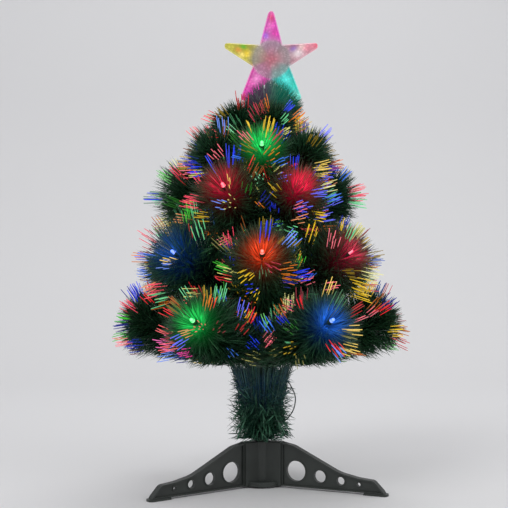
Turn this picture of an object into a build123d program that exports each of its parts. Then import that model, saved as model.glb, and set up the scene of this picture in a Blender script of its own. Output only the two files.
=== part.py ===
from build123d import *
from math import cos, hypot, pi, radians, sin, sqrt, tan
import os

os.makedirs("parts", exist_ok=True)

# A table-top fibre optic tree: tripod stand, pole, five tiers of hinged tinsel branches, lit star.
# Millimetres. +Z is up, the front faces -Y, and the origin is on the floor under the pole.
# An azimuth is measured from the front, towards +X.

# Fits
running_fit = 0.05
loose_fit = 0.2
soft_gap = 0.3
overrun = 5.0

# Pole
pole_radius = 9.5
pole_wall = 2.0
pole_stub = 14.0

# Stand hub
hub_floor = 2.5
hub_top = 61.0
hub_wall = 2.7
hub_tube_radius = pole_radius + running_fit + hub_wall
hub_disc_radius = 27.0
hub_disc_thickness = 6.0
hub_arm_reach = 31.0
hub_arm_width = 14.0
slot_head_width = 8.4
slot_head_start = 19.0
slot_head_depth = 4.5
slot_neck_width = 4.4
slot_roof_thickness = 4.0
slot_roof = hub_top - slot_roof_thickness
hub_edge_bevel = 1.0
socket_floor = hub_floor + hub_disc_thickness

# Legs
leg_azimuths = {"leg_left": -54.0, "leg_right": 66.0, "leg_back": 186.0}
leg_root_drop = 0.5
leg_root_height = hub_top - leg_root_drop
leg_toe_radius = 174.0
leg_toe_height = 3.4
leg_underside = 2.8
leg_rim_width = 10.0
leg_rim_thickness = 2.0
leg_edge_radius_shares = [0.12, 0.57, 0.75, 0.90, 0.985]
leg_edge_height_shares = [0.945, 0.43, 0.345, 0.315, 0.11]
leg_bend_radii = [26.0, 60.0, 40.0, 9.0, 6.0]
hole_radii = [13.5, 8.1, 5.3, 2.5]
hole_distance_shares = [0.139, 0.377, 0.580, 0.755]
hole_height_shares = [0.388, 0.309, 0.251, 0.208]
hole_rim_thickness = 1.5
hole_rim_width = 6.0
pad_overhang = 4.0
pad_tip_radius = leg_toe_radius + pad_overhang
pad_length = 31.0
pad_width = 14.0
pad_corner = 5.0

# Branch tiers, from the lowest up
tier_heights = [158.0, 244.0, 334.0, 396.0, 447.0]
tier_rises = [25.0, 31.0, 38.0, 42.0, 68.0]
tier_first_azimuths = [30.0, 0.0, 30.0, 0.0, 30.0]
tier_counts = [6, 6, 6, 6, 3]
brush_lengths = [152.0, 118.0, 90.0, 70.0, 46.0]
brush_radii = [41.0, 36.0, 30.0, 26.0, 19.0]
brush_strands = [16, 13, 11, 9, 7]
brush_end_strands = 4
brush_start = 14.0
brush_root_radius = 4.0
brush_sides = 8
brush_end_share = 1.05
core_share = 0.80
core_waist_share = 0.86
core_end_share = 0.30
core_end_radius_share = 0.42
strand_width = 2.8
strand_tip_width = 0.8
strand_lean_share = 0.55
strand_foot_share = 0.4
end_strand_foot_share = 0.3
end_strand_tip_share = 0.36
end_strand_reach_share = 0.97
strand_turn = 137.5

# Branch hinges
eye_radius = 3.2
eye_pole_gap = 1.3
hinge_radius = pole_radius + eye_pole_gap + eye_radius
collar_rim = 5.0
collar_radius = hinge_radius + collar_rim
collar_below = 6.0
collar_above = 5.0
collar_slot_width = 5.2
collar_slot_depth = eye_radius + soft_gap
eye_width = collar_slot_width - 2 * soft_gap
pin_radius = 1.0
pin_seat = 2.9
pin_length = collar_slot_width + 2 * pin_seat
stem_radius = 2.0

# Leader, from the top of the pole to the star
pole_top = tier_heights[-1] + collar_above + pole_stub
leader_radius = 2.5
leader_plug_length = 15.0
leader_straight = 8.0
leader_bend_rise = 25.0
leader_bend_radius = 14.0
leader_bend_start = pole_top + leader_straight
leader_bend_end = leader_bend_start + leader_bend_rise
star_offset = 13.0

# Lamps, listed by tier and azimuth
lamp_spots = [
    (0, 30.0), (0, 330.0), (0, 150.0), (0, 210.0),
    (1, 0.0), (1, 60.0), (1, 300.0), (1, 180.0),
    (2, 30.0), (2, 330.0), (2, 150.0),
    (3, 0.0),
]
lamp_base_radius = 3.6
lamp_base_length = 7.0
lamp_bulb_radius = 2.5
lamp_bulb_length = 4.0

# Fibre harness, which turns into the pole under the lowest collar
harness_radius = 5.6
harness_arm_radius = 1.9
harness_arm_rise = 14.2
harness_bend = 4.5
harness_stub_radius = 1.4
harness_collar_gap = 7.1
lowest_collar_floor = tier_heights[0] - collar_below
harness_turn_height = lowest_collar_floor - harness_collar_gap - harness_arm_radius

# Light source at the foot of the fibres
source_height = 21.0
source_wall = 1.6
source_led_radius = 2.5
source_led_length = 6.0
source_led_pole_gap = 2.5
source_led_rim = 2.0
source_led_depth = 8.0
source_led_orbit = pole_radius + source_led_pole_gap + source_led_radius
source_radius = source_led_orbit + source_led_radius + source_led_rim
source_led_top = harness_turn_height - harness_arm_rise - soft_gap
source_led_seat = source_led_top - source_led_radius - source_led_length
source_floor = source_led_seat - source_led_depth
source_azimuths = [10.0, 130.0, 250.0]

# Trunk tinsel
trunk_core_radius = 26.0
trunk_collar_gap = 4.0
trunk_core_top = lowest_collar_floor - trunk_collar_gap
trunk_sides = 12
trunk_strands = 60
trunk_strand_low_share = 0.03
trunk_strand_span_share = 0.82
trunk_reach = 39.0
trunk_flare = 7.0
trunk_strand_rise = 13.0
lead_gap_angle = 24.0
inlet_gap_angle = 42.0

# Power inlet at the back of the trunk, and the room that the tinsel leaves round it
inlet_rise = 13.0
inlet_height = hub_top + inlet_rise
inlet_body_radius = 5.0
inlet_body_depth = 13.0
inlet_flange_radius = 6.5
inlet_flange_thickness = 2.0
inlet_bore_radius = 2.75
inlet_bore_depth = 9.5
inlet_notch_side = 2.0
inlet_notch_headroom = 4.8
inlet_strand_room = 24.0
inlet_notch_width = 2 * (inlet_flange_radius + inlet_notch_side)
inlet_notch_top = inlet_height + inlet_flange_radius + inlet_notch_headroom

# Lamp lead that loops out of the trunk on the right, as points of distance, side step and height
lead_radius = 0.8
lead_azimuth = 78.0
lead_points = [
    (26.0, 0.0, 139.0),
    (36.0, -1.0, 141.0),
    (47.0, 1.0, 120.0),
    (44.0, 4.0, 101.0),
    (34.0, 1.0, 88.0),
    (26.0, 0.0, 85.0),
]
bend_run_share = 0.45

# Star
star_points = 5
star_radius = 79.0
star_notch_radius = 26.0
star_foot_rise = 11.09
star_height = leader_bend_end + star_foot_rise + star_radius * cos(pi / star_points)
star_half_depth = 9.0
star_wall = 1.6
star_slope = 14.0
star_tip_round = 4.4
board_notch_gap = 10.0
board_radius = star_notch_radius - board_notch_gap
board_thickness = 1.6
board_setback = 1.0
board_post_radius = 2.2
board_post_spacing = 16.0
star_led_radius = 2.0
star_led_length = 3.0
star_led_edge = 4.0
star_led_orbit = board_radius - star_led_edge
star_socket_radius = 4.5
star_socket_length = 28.4
star_socket_lip = 2.0
star_socket_roof = 6.0
star_flange_radius = 6.4
star_flange_thickness = 2.6
star_socket_top = star_height - board_radius - board_setback
star_flange_bottom = star_socket_top - star_socket_lip - star_flange_thickness
star_socket_bottom = star_flange_bottom - star_socket_length
leader_top = star_socket_top - star_socket_roof

# Tuft of tinsel round the leader, under the star
tuft_foot_gap = 3.0
tuft_foot = pole_top + pole_wall + tuft_foot_gap
tuft_foot_radius = 6.0
tuft_foot_offset = 2.0
tuft_shoulder_rise = 4.0
tuft_shoulder = leader_bend_end + tuft_shoulder_rise
tuft_socket_gap = 4.0
tuft_top = star_socket_bottom - tuft_socket_gap
tuft_radius = 8.5
tuft_strands = 28
tuft_side_reach = 38.0
tuft_side_rise = 6.0
tuft_face_reach = 18.0
tuft_face_rise = 28.0
tuft_face_angle = 40.0
tuft_strand_span_share = 0.8


def outward(azimuth):
    """Unit vector that points away from the pole at this azimuth."""
    return Vector(sin(radians(azimuth)), -cos(radians(azimuth)), 0)


def sideways(azimuth):
    """Unit vector square to outward, towards a larger azimuth."""
    return Vector(cos(radians(azimuth)), sin(radians(azimuth)), 0)


def upright_plane(azimuth):
    """Plane through the pole's axis whose X runs outward and whose Y runs up."""
    return Plane(origin=(0, 0, 0), x_dir=outward(azimuth), z_dir=-1 * sideways(azimuth))


def radial_plane(azimuth, distance, height):
    """Plane that faces outward, at this distance from the axis and this height."""
    return Plane(origin=outward(azimuth) * distance + Vector(0, 0, height), z_dir=outward(azimuth))


def tier_azimuths(tier):
    """Azimuth of each branch of a tier, from 0 to 360."""
    step = 360 / tier_counts[tier]
    return [(tier_first_azimuths[tier] + step * i) % 360 for i in range(tier_counts[tier])]


def save(part, name):
    """Label a finished piece and write its STEP file."""
    part.label = name
    export_step(part, f"parts/{name}.step")


def turned_copy(part, azimuth):
    """The same piece, turned about the pole's axis."""
    with BuildPart() as copy:
        with Locations(Location((0, 0, 0), (0, 0, azimuth))):
            add(part)
    return copy.part


# Stand hub: socket tube, base disc and three arms with a T slot each
def build_hub():
    """Moulded hub that holds the pole and takes the three legs."""
    first_arm = list(leg_azimuths.values())[0] - 90
    arm_count = len(leg_azimuths)
    with BuildPart() as stand_hub:
        with BuildSketch(Plane.XY.offset(hub_floor)):
            Circle(hub_disc_radius)
        extrude(amount=hub_disc_thickness)
        with BuildSketch(Plane.XY.offset(hub_floor)):
            Circle(hub_tube_radius)
            with PolarLocations(0, arm_count, start_angle=first_arm):
                Rectangle(hub_arm_reach, hub_arm_width, align=(Align.MIN, Align.CENTER))
        extrude(amount=hub_top - hub_floor)
        chamfer(stand_hub.faces().sort_by(Axis.Z)[-1].outer_wire().edges(), hub_edge_bevel)
        with BuildSketch(Plane.XY.offset(hub_floor)):
            with PolarLocations(slot_head_start, arm_count, start_angle=first_arm):
                Rectangle(slot_head_depth, slot_head_width, align=(Align.MIN, Align.CENTER))
                Rectangle(hub_arm_reach, slot_neck_width, align=(Align.MIN, Align.CENTER))
        extrude(amount=slot_roof - hub_floor, mode=Mode.SUBTRACT)
        with BuildSketch(Plane.XY.offset(socket_floor)):
            Circle(pole_radius + running_fit)
        extrude(amount=hub_top - socket_floor, mode=Mode.SUBTRACT)
    save(stand_hub.part, "stand_hub")


# Legs: a web with a rim round its edge, four ringed holes, a T rail at the root and a foot pad
leg_root_radius = hub_arm_reach + loose_fit
leg_span = leg_toe_radius - leg_root_radius
web_thickness = slot_neck_width - 2 * loose_fit
leg_edge_points = [(leg_root_radius, leg_root_height)]
leg_edge_points += [
    (leg_root_radius + leg_span * along, leg_root_height * up)
    for along, up in zip(leg_edge_radius_shares, leg_edge_height_shares)
]
leg_edge_points += [(leg_toe_radius, leg_toe_height)]
leg_hole_spots = [
    (leg_root_radius + leg_span * along, leg_root_height * up, radius)
    for along, up, radius in zip(hole_distance_shares, hole_height_shares, hole_radii)
]


def leg_outline():
    """Closed side view of a leg: distance from the pole's axis across, height up."""
    with BuildSketch() as outline:
        with BuildLine():
            FilletPolyline(*leg_edge_points, radius=leg_bend_radii)
            Polyline(
                leg_edge_points[-1],
                (leg_toe_radius, leg_underside),
                (leg_root_radius, leg_underside),
                leg_edge_points[0],
            )
        make_face()
    return outline.sketch


def build_leg():
    """One leg at azimuth 0."""
    side = upright_plane(0)
    outline = leg_outline()
    with BuildPart() as leg:
        with BuildSketch(side):
            add(outline)
        extrude(amount=leg_rim_width / 2, both=True)
        for face_side in (1, -1):
            with BuildSketch(side.offset(face_side * web_thickness / 2)):
                add(outline)
                offset(amount=-leg_rim_thickness, mode=Mode.REPLACE)
                for distance, height, radius in leg_hole_spots:
                    with Locations((distance, height)):
                        Circle(radius + hole_rim_thickness, mode=Mode.SUBTRACT)
            extrude(amount=face_side * leg_rim_width / 2, mode=Mode.SUBTRACT)
        for distance, height, radius in leg_hole_spots:
            with BuildSketch(side) as hole:
                with Locations((distance, height)):
                    Circle(radius)
            extrude(amount=leg_rim_width, both=True, mode=Mode.SUBTRACT)
        # the ring round each hole stands out of the web by less than the rim
        for distance, height, radius in leg_hole_spots:
            for face_side in (1, -1):
                with BuildSketch(side.offset(face_side * hole_rim_width / 2)) as ring_top:
                    with Locations((distance, height)):
                        Circle(radius + hole_rim_thickness)
                extrude(amount=face_side * leg_rim_width / 2, mode=Mode.SUBTRACT)
        with BuildSketch(Plane.XY.offset(leg_underside)) as rail:
            with Locations((0, -slot_head_start - loose_fit)):
                Rectangle(
                    slot_head_width - 2 * loose_fit,
                    slot_head_depth - 2 * loose_fit,
                    align=(Align.CENTER, Align.MAX),
                )
                Rectangle(
                    web_thickness,
                    leg_root_radius + web_thickness - slot_head_start,
                    align=(Align.CENTER, Align.MAX),
                )
        extrude(amount=slot_roof - leg_underside)
        with BuildSketch(Plane.XY) as pad:
            with Locations((0, -pad_tip_radius)):
                Rectangle(pad_width, pad_length, align=(Align.CENTER, Align.MIN))
            fillet(pad.vertices().group_by(Axis.Y)[0], pad_corner)
        extrude(amount=leg_underside)
    return leg.part


def build_legs():
    """Three equal legs."""
    leg = build_leg()
    for name, azimuth in leg_azimuths.items():
        save(turned_copy(leg, azimuth), name)


# The pole has a hole for each fibre stub, each source arm and the inlet
def build_pole():
    """Hollow pole, open at both ends."""
    with BuildPart() as pole:
        with BuildSketch(Plane.XY.offset(socket_floor)):
            Circle(pole_radius)
            Circle(pole_radius - pole_wall, mode=Mode.SUBTRACT)
        extrude(amount=pole_top - socket_floor)
        for tier, height in enumerate(tier_heights):
            for azimuth in tier_azimuths(tier):
                with Locations(radial_plane(azimuth, 0, height)):
                    Cylinder(
                        harness_stub_radius + loose_fit,
                        pole_radius + overrun,
                        align=(Align.CENTER, Align.CENTER, Align.MIN),
                        mode=Mode.SUBTRACT,
                    )
        for azimuth in source_azimuths:
            with Locations(radial_plane(azimuth, 0, harness_turn_height)):
                Cylinder(
                    harness_arm_radius + loose_fit,
                    pole_radius + overrun,
                    align=(Align.CENTER, Align.CENTER, Align.MIN),
                    mode=Mode.SUBTRACT,
                )
        with Locations(radial_plane(180, 0, inlet_height)):
            Cylinder(
                inlet_body_radius + running_fit,
                pole_radius + overrun,
                align=(Align.CENTER, Align.CENTER, Align.MIN),
                mode=Mode.SUBTRACT,
            )
    save(pole.part, "pole")


# Leader: plug in the pole, then a wire that steps aside and stands up to the star
leader_path_points = [
    (0, 0, pole_top),
    (0, 0, leader_bend_start),
    (star_offset, 0, leader_bend_end),
    (star_offset, 0, leader_top),
]


def leader_wire(radius):
    """The leader's wire above the plug, at this radius."""
    with BuildPart() as wire:
        with BuildLine():
            FilletPolyline(*leader_path_points, radius=leader_bend_radius)
        with BuildSketch(Plane.XY.offset(pole_top)):
            Circle(radius)
        sweep()
    return wire.part


def build_leader():
    """Bent top stem with its plug."""
    with BuildPart() as leader:
        with BuildSketch(Plane.XY.offset(pole_top - leader_plug_length)):
            Circle(pole_radius - pole_wall - running_fit)
        extrude(amount=leader_plug_length)
        with BuildSketch(Plane.XY.offset(pole_top)):
            Circle(pole_radius)
        extrude(amount=pole_wall)
        add(leader_wire(leader_radius))
    save(leader.part, "leader")


# Branch collars, with a slot and a pin for each branch
def build_collar(tier):
    """Ring on the pole whose slots hold one tier's branches."""
    count = tier_counts[tier]
    first_slot = tier_first_azimuths[tier] - 90
    height = tier_heights[tier]
    with BuildPart() as collar:
        with BuildSketch(Plane.XY.offset(height - collar_below)):
            Circle(collar_radius)
            Circle(pole_radius + running_fit, mode=Mode.SUBTRACT)
        extrude(amount=collar_below + collar_above)
        with BuildSketch(Plane.XY.offset(height - collar_slot_depth)):
            with PolarLocations(0, count, start_angle=first_slot):
                Rectangle(
                    collar_radius + overrun, collar_slot_width, align=(Align.MIN, Align.CENTER)
                )
        extrude(amount=collar_below + collar_above, mode=Mode.SUBTRACT)
        for azimuth in tier_azimuths(tier):
            with Locations(pin_plane(azimuth, height)):
                Cylinder(pin_radius + running_fit / 2, pin_length, mode=Mode.SUBTRACT)
    return collar.part


def pin_plane(azimuth, height):
    """Plane whose normal is a hinge's axis, at the hinge."""
    hinge = outward(azimuth) * hinge_radius + Vector(0, 0, height)
    return Plane(origin=hinge, x_dir=(0, 0, 1), z_dir=sideways(azimuth))


def build_collars():
    """The full collars in one node, and the smaller tier's collar by itself."""
    full = max(tier_counts)
    full_tiers = [i for i, count in enumerate(tier_counts) if count == full]
    with BuildPart() as branch_collars:
        for tier in full_tiers:
            add(build_collar(tier))
    save(branch_collars.part, "branch_collars")
    save(build_collar(len(tier_counts) - 1), "top_collar")


def build_hinge_pins():
    """A straight pin for each branch."""
    with BuildPart() as hinge_pins:
        for tier, height in enumerate(tier_heights):
            for azimuth in tier_azimuths(tier):
                with Locations(pin_plane(azimuth, height)):
                    Cylinder(pin_radius, pin_length)
    save(hinge_pins.part, "hinge_pins")


# Branches: a stem with its eye, and a brush of tinsel twisted round the wire
def branch_plane(tier):
    """Plane at a tier's hinge at azimuth 0: its normal runs along the branch and its X is the hinge's axis."""
    rise = radians(tier_rises[tier])
    return Plane(
        origin=(0, -hinge_radius, tier_heights[tier]),
        x_dir=(1, 0, 0),
        z_dir=(0, -cos(rise), sin(rise)),
    )


def ring_points(centre, radius, sides, height):
    """Corners of a level polygon."""
    return [
        (
            centre[0] + radius * cos(2 * pi * (i + 1 / 2) / sides),
            centre[1] + radius * sin(2 * pi * (i + 1 / 2) / sides),
            height,
        )
        for i in range(sides)
    ]


def strand_points(foot, tip):
    """Corners of a three-sided strand that tapers from its foot to its tip."""
    along = (Vector(*tip) - Vector(*foot)).normalized()
    plane = Plane(origin=foot, z_dir=along)
    corners = []
    for end, width in ((foot, strand_width), (tip, strand_tip_width)):
        radius = width / sqrt(3)
        for i in range(3):
            turn = 2 * pi * i / 3
            corner = Vector(*end) + plane.x_dir * (radius * cos(turn)) + plane.y_dir * (radius * sin(turn))
            corners.append(tuple(corner))
    return corners


def brush_reach(tier, along):
    """Reach of the tinsel from the stem: it grows evenly along the wire, then rounds off past its end."""
    length, full = brush_lengths[tier], brush_radii[tier]
    if along <= length:
        return brush_root_radius + (full - brush_root_radius) * along / length
    past = (along - length) / (full * brush_end_share)
    return full * sqrt(max(1 - past**2, 0))


def brush_end(tier):
    """Where a brush's core ends and its lamp sits, along the branch."""
    return brush_lengths[tier] + brush_radii[tier] * core_end_share


def brush_strand_ends(tier):
    """Foot and tip of each strand of a brush: in turns round the stem, then a few at its end."""
    length, full = brush_lengths[tier], brush_radii[tier]
    spots = []
    for i in range(brush_strands[tier]):
        along = brush_start + (length - brush_start) * (i + 1) / brush_strands[tier]
        tip_along = along + brush_reach(tier, along) * strand_lean_share
        foot_reach = brush_reach(tier, along) * strand_foot_share
        spots.append((foot_reach, along, brush_reach(tier, tip_along), tip_along))
    for i in range(brush_end_strands):
        tip_along = length + full * end_strand_reach_share
        spots.append((full * end_strand_foot_share, length, full * end_strand_tip_share, tip_along))
    ends = []
    for i, (foot_reach, foot_along, tip_reach, tip_along) in enumerate(spots):
        turn = radians(strand_turn * i)
        foot = (foot_reach * cos(turn), foot_reach * sin(turn), foot_along)
        tip = (tip_reach * cos(turn), tip_reach * sin(turn), tip_along)
        ends.append((foot, tip))
    return ends


def build_branch(tier):
    """One branch of a tier at azimuth 0: stem and brush, two solids face to face."""
    waist = brush_lengths[tier] * core_waist_share
    plane = branch_plane(tier)
    rings = ring_points((0, 0), brush_root_radius, brush_sides, brush_start)
    rings += ring_points((0, 0), brush_reach(tier, waist) * core_share, brush_sides, waist)
    rings += ring_points(
        (0, 0), brush_radii[tier] * core_end_radius_share, brush_sides, brush_end(tier)
    )
    with BuildPart() as brush:
        ConvexPolyhedron(rings)
        strands = [
            ConvexPolyhedron(strand_points(foot, tip), mode=Mode.PRIVATE)
            for foot, tip in brush_strand_ends(tier)
        ]
        add(strands)
    with BuildPart() as stem:
        with BuildSketch(Plane.YZ.offset(-eye_width / 2)):
            Circle(eye_radius)
        extrude(amount=eye_width)
        with BuildSketch():
            Circle(stem_radius)
        extrude(amount=brush_start)
        with Locations(Plane.YZ):
            Cylinder(pin_radius + running_fit, eye_width + overrun, mode=Mode.SUBTRACT)
    return [plane * stem.part, plane * brush.part]


def build_branches():
    """Every branch, as a node of its own."""
    for tier in range(len(tier_heights)):
        pieces = build_branch(tier)
        for number, azimuth in enumerate(tier_azimuths(tier), start=1):
            turned = Compound(children=[turned_copy(piece, azimuth) for piece in pieces])
            save(turned, f"tier{tier + 1}_branch_{number}")


# Lamps, seated on the ends of branches
def build_lamp(tier):
    """Lamp at the tip of a branch at azimuth 0: a base and a round-ended bulb, turned as one."""
    base_end = lamp_base_length
    bulb_end = base_end + lamp_bulb_length
    with BuildPart() as lamp:
        with BuildSketch(Plane.XZ):
            with BuildLine():
                Polyline(
                    (0, 0),
                    (lamp_base_radius, 0),
                    (lamp_base_radius, base_end),
                    (lamp_bulb_radius, base_end),
                    (lamp_bulb_radius, bulb_end),
                )
                CenterArc((0, bulb_end), lamp_bulb_radius, 0, 90)
                Line((0, bulb_end + lamp_bulb_radius), (0, 0))
            make_face()
        revolve(axis=Axis.Z)
    plane = branch_plane(tier)
    with BuildPart() as placed:
        with Locations(plane.offset(brush_end(tier))):
            add(lamp.part)
    return placed.part


def build_lamps():
    """Twelve lamps of one string."""
    for number, (tier, azimuth) in enumerate(lamp_spots, start=1):
        save(turned_copy(build_lamp(tier), azimuth), f"lamp_{number}")


# Light source: a ring housing round the pole, with three LEDs that shine up into the fibres
def build_source():
    """Housing and LEDs of the light source."""
    led_spots = [(source_led_orbit, azimuth) for azimuth in source_azimuths]
    with BuildPart() as source_housing:
        with BuildSketch(Plane.XY.offset(source_floor)):
            Circle(source_radius)
            Circle(pole_radius + running_fit, mode=Mode.SUBTRACT)
        extrude(amount=source_height)
        for orbit, azimuth in led_spots:
            seat = outward(azimuth) * orbit + Vector(0, 0, source_led_seat)
            with Locations(Plane(origin=seat)):
                Cylinder(
                    source_led_radius + running_fit,
                    source_height,
                    align=(Align.CENTER, Align.CENTER, Align.MIN),
                    mode=Mode.SUBTRACT,
                )
        fillet(source_housing.faces().sort_by(Axis.Z)[-1].outer_wire().edges(), source_wall)
    save(source_housing.part, "source_housing")
    with BuildPart() as source_leds:
        for orbit, azimuth in led_spots:
            seat = outward(azimuth) * orbit + Vector(0, 0, source_led_seat)
            with Locations(Plane(origin=seat)):
                Cylinder(
                    source_led_radius,
                    source_led_length,
                    align=(Align.CENTER, Align.CENTER, Align.MIN),
                )
            with Locations(Plane(origin=seat + Vector(0, 0, source_led_length))):
                Sphere(source_led_radius)
    save(source_leds.part, "source_leds")


# Fibre harness: a bundle inside the pole, with an arm to each source LED and a stub to each branch
def build_harness():
    """All the fibres up to the branches' hinges, as one bundle."""
    arm_foot = source_led_top + soft_gap
    bundle_foot = harness_turn_height - harness_arm_radius - harness_bend
    stub_end = hinge_radius - eye_radius - soft_gap
    with BuildPart() as fibre_harness:
        with BuildSketch(Plane.XY.offset(bundle_foot)):
            Circle(harness_radius)
        extrude(amount=pole_top - leader_plug_length - soft_gap - bundle_foot)
        for tier, height in enumerate(tier_heights):
            for azimuth in tier_azimuths(tier):
                with Locations(radial_plane(azimuth, 0, height)):
                    Cylinder(
                        harness_stub_radius,
                        stub_end,
                        align=(Align.CENTER, Align.CENTER, Align.MIN),
                    )
    with BuildPart() as arm:
        with BuildLine(Plane.XZ):
            FilletPolyline(
                (source_led_orbit, arm_foot),
                (source_led_orbit, harness_turn_height),
                (harness_radius / 2, harness_turn_height),
                radius=harness_bend,
            )
        with BuildSketch(Plane(origin=(source_led_orbit, 0, arm_foot))):
            Circle(harness_arm_radius)
        sweep()
    with BuildPart() as whole:
        add(fibre_harness.part)
        for azimuth in source_azimuths:
            with Locations(Location((0, 0, 0), (0, 0, azimuth - 90))):
                add(arm.part)
    save(whole.part, "fibre_harness")


# Trunk tinsel: a faceted sleeve with strands, hollow round the light source
def angle_between(first, second):
    """Smaller angle between two azimuths."""
    return abs((first - second + 180) % 360 - 180)


def trunk_strand_ends(bottom):
    """Foot and tip of each strand of the trunk, leaving room for the inlet and the lead."""
    ends = []
    for i in range(trunk_strands):
        share = (i + 1 / 2) / trunk_strands
        azimuth = strand_turn * i % 360
        up = trunk_strand_low_share + share * trunk_strand_span_share
        height = bottom + (trunk_core_top - bottom) * up
        beside_inlet = angle_between(azimuth, 180) < inlet_gap_angle
        low = height < inlet_height + inlet_strand_room
        beside_lead = angle_between(azimuth, lead_azimuth) < lead_gap_angle
        if (beside_inlet and low) or beside_lead:
            continue
        reach = trunk_reach + trunk_flare * share
        foot = outward(azimuth) * (trunk_core_radius - strand_width) + Vector(0, 0, height)
        tip = outward(azimuth) * reach + Vector(0, 0, height + trunk_strand_rise * share)
        ends.append((tuple(foot), tuple(tip)))
    return ends


def build_trunk_tinsel():
    """Tinsel wound round the pole, from the hub up to the lowest tier."""
    bottom = hub_top + soft_gap
    with BuildPart() as trunk_tinsel:
        with BuildSketch(Plane.XY.offset(bottom)):
            RegularPolygon(trunk_core_radius, trunk_sides, rotation=180 / trunk_sides)
        extrude(amount=trunk_core_top - bottom)
        add(
            [
                ConvexPolyhedron(strand_points(foot, tip), mode=Mode.PRIVATE)
                for foot, tip in trunk_strand_ends(bottom)
            ]
        )
        with BuildSketch(Plane.XY.offset(bottom)):
            Circle(pole_radius + soft_gap)
        extrude(amount=trunk_core_top - bottom, mode=Mode.SUBTRACT)
        with BuildSketch(Plane.XY.offset(source_floor - soft_gap)):
            Circle(source_radius + soft_gap)
        extrude(amount=trunk_core_top, mode=Mode.SUBTRACT)
        with BuildSketch(Plane.XY.offset(bottom - overrun)):
            with Locations((0, pole_radius / 2)):
                Rectangle(
                    inlet_notch_width, trunk_reach + trunk_flare, align=(Align.CENTER, Align.MIN)
                )
        extrude(amount=inlet_notch_top - bottom + overrun, mode=Mode.SUBTRACT)
    save(trunk_tinsel.part, "trunk_tinsel")


# Power inlet
def build_inlet():
    """Round low-voltage socket in the pole's back wall, its bore facing back."""
    mouth = pole_radius + inlet_flange_thickness
    with BuildPart() as power_inlet:
        with Locations(radial_plane(180, pole_radius, inlet_height)):
            Cylinder(
                inlet_body_radius, inlet_body_depth, align=(Align.CENTER, Align.CENTER, Align.MAX)
            )
            Cylinder(
                inlet_flange_radius,
                inlet_flange_thickness,
                align=(Align.CENTER, Align.CENTER, Align.MIN),
            )
        with Locations(radial_plane(180, mouth, inlet_height)):
            Cylinder(
                inlet_bore_radius,
                inlet_bore_depth,
                align=(Align.CENTER, Align.CENTER, Align.MAX),
                mode=Mode.SUBTRACT,
            )
    save(power_inlet.part, "power_inlet")


# Lamp lead
def bend_radii(points):
    """Largest fillet at each inner point that the rule for a wire's runs allows."""
    radii = []
    for before, here, after in zip(points, points[1:], points[2:]):
        first = Vector(*here) - Vector(*before)
        second = Vector(*after) - Vector(*here)
        half_turn = radians(first.get_angle(second)) / 2
        shorter = min(first.length, second.length)
        radii.append(bend_run_share * shorter / tan(half_turn))
    return radii


def build_lead():
    """Thin lead that leaves the trunk tinsel and goes back into it lower down."""
    facet = trunk_core_radius * cos(pi / trunk_sides)
    out, side = outward(lead_facet_azimuth()), sideways(lead_facet_azimuth())
    stretch = facet / lead_points[0][0]
    route = []
    for number, (distance, step, height) in enumerate(lead_points):
        at_end = number in (0, len(lead_points) - 1)
        place = out * (distance * stretch if at_end else distance) + side * step
        route.append(tuple(place + Vector(0, 0, height)))
    radii = bend_radii(route)
    with BuildPart() as lead:
        with BuildLine() as path:
            FilletPolyline(*route, radius=radii)
        wire = path.wires()[0]
        with BuildSketch(Plane(origin=wire @ 0, z_dir=wire % 0)):
            Circle(lead_radius)
        sweep()
    expected = pi * lead_radius**2 * wire.length
    print("lamp_lead bend radii", [round(radius, 1) for radius in radii])
    print("lamp_lead length", round(wire.length, 1))
    print("lamp_lead volume over section times length", round(lead.part.volume / expected, 4))
    save(trim_lead(lead.part, facet), "lamp_lead")


def lead_facet_azimuth():
    """Azimuth of the trunk facet that is nearest the lead."""
    step = 360 / trunk_sides
    return step * round(lead_azimuth / step)


def trim_lead(part, facet):
    """Cut the lead's ends flush with the facet that it stands on."""
    with BuildPart() as trimmed:
        add(part)
        with Locations(radial_plane(lead_facet_azimuth(), facet, trunk_core_top / 2)):
            Box(
                trunk_core_top,
                trunk_core_top,
                overrun,
                align=(Align.CENTER, Align.CENTER, Align.MAX),
                mode=Mode.SUBTRACT,
            )
    return trimmed.part


# Star: two clear half shells, a light board with five LEDs, and a socket that slides on the leader
edge_length = sqrt(
    star_radius**2
    + star_notch_radius**2
    - 2 * star_radius * star_notch_radius * cos(pi / star_points)
)
star_edge_distance = star_radius * star_notch_radius * sin(pi / star_points) / edge_length


def star_outline(inset, tip_round):
    """Five-pointed outline, drawn in evenly by the inset, with its outer points rounded."""
    shrink = (star_edge_distance - inset) / star_edge_distance
    points = []
    for i in range(2 * star_points):
        radius = (star_radius if i % 2 == 0 else star_notch_radius) * shrink
        turn = pi / 2 + i * pi / star_points
        points.append((radius * cos(turn), radius * sin(turn)))
    with BuildSketch() as outline:
        with BuildLine():
            Polyline(*points, close=True)
        make_face()
        tips = sorted(outline.vertices(), key=lambda v: -hypot(v.X, v.Y))[:star_points]
        fillet(tips, tip_round)
    return outline.sketch


def star_plane(facing):
    """Upright plane through the star's middle, whose normal points to the front or the back."""
    return Plane(
        origin=(star_offset, 0, star_height), x_dir=(facing, 0, 0), z_dir=(0, -facing, 0)
    )


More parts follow.
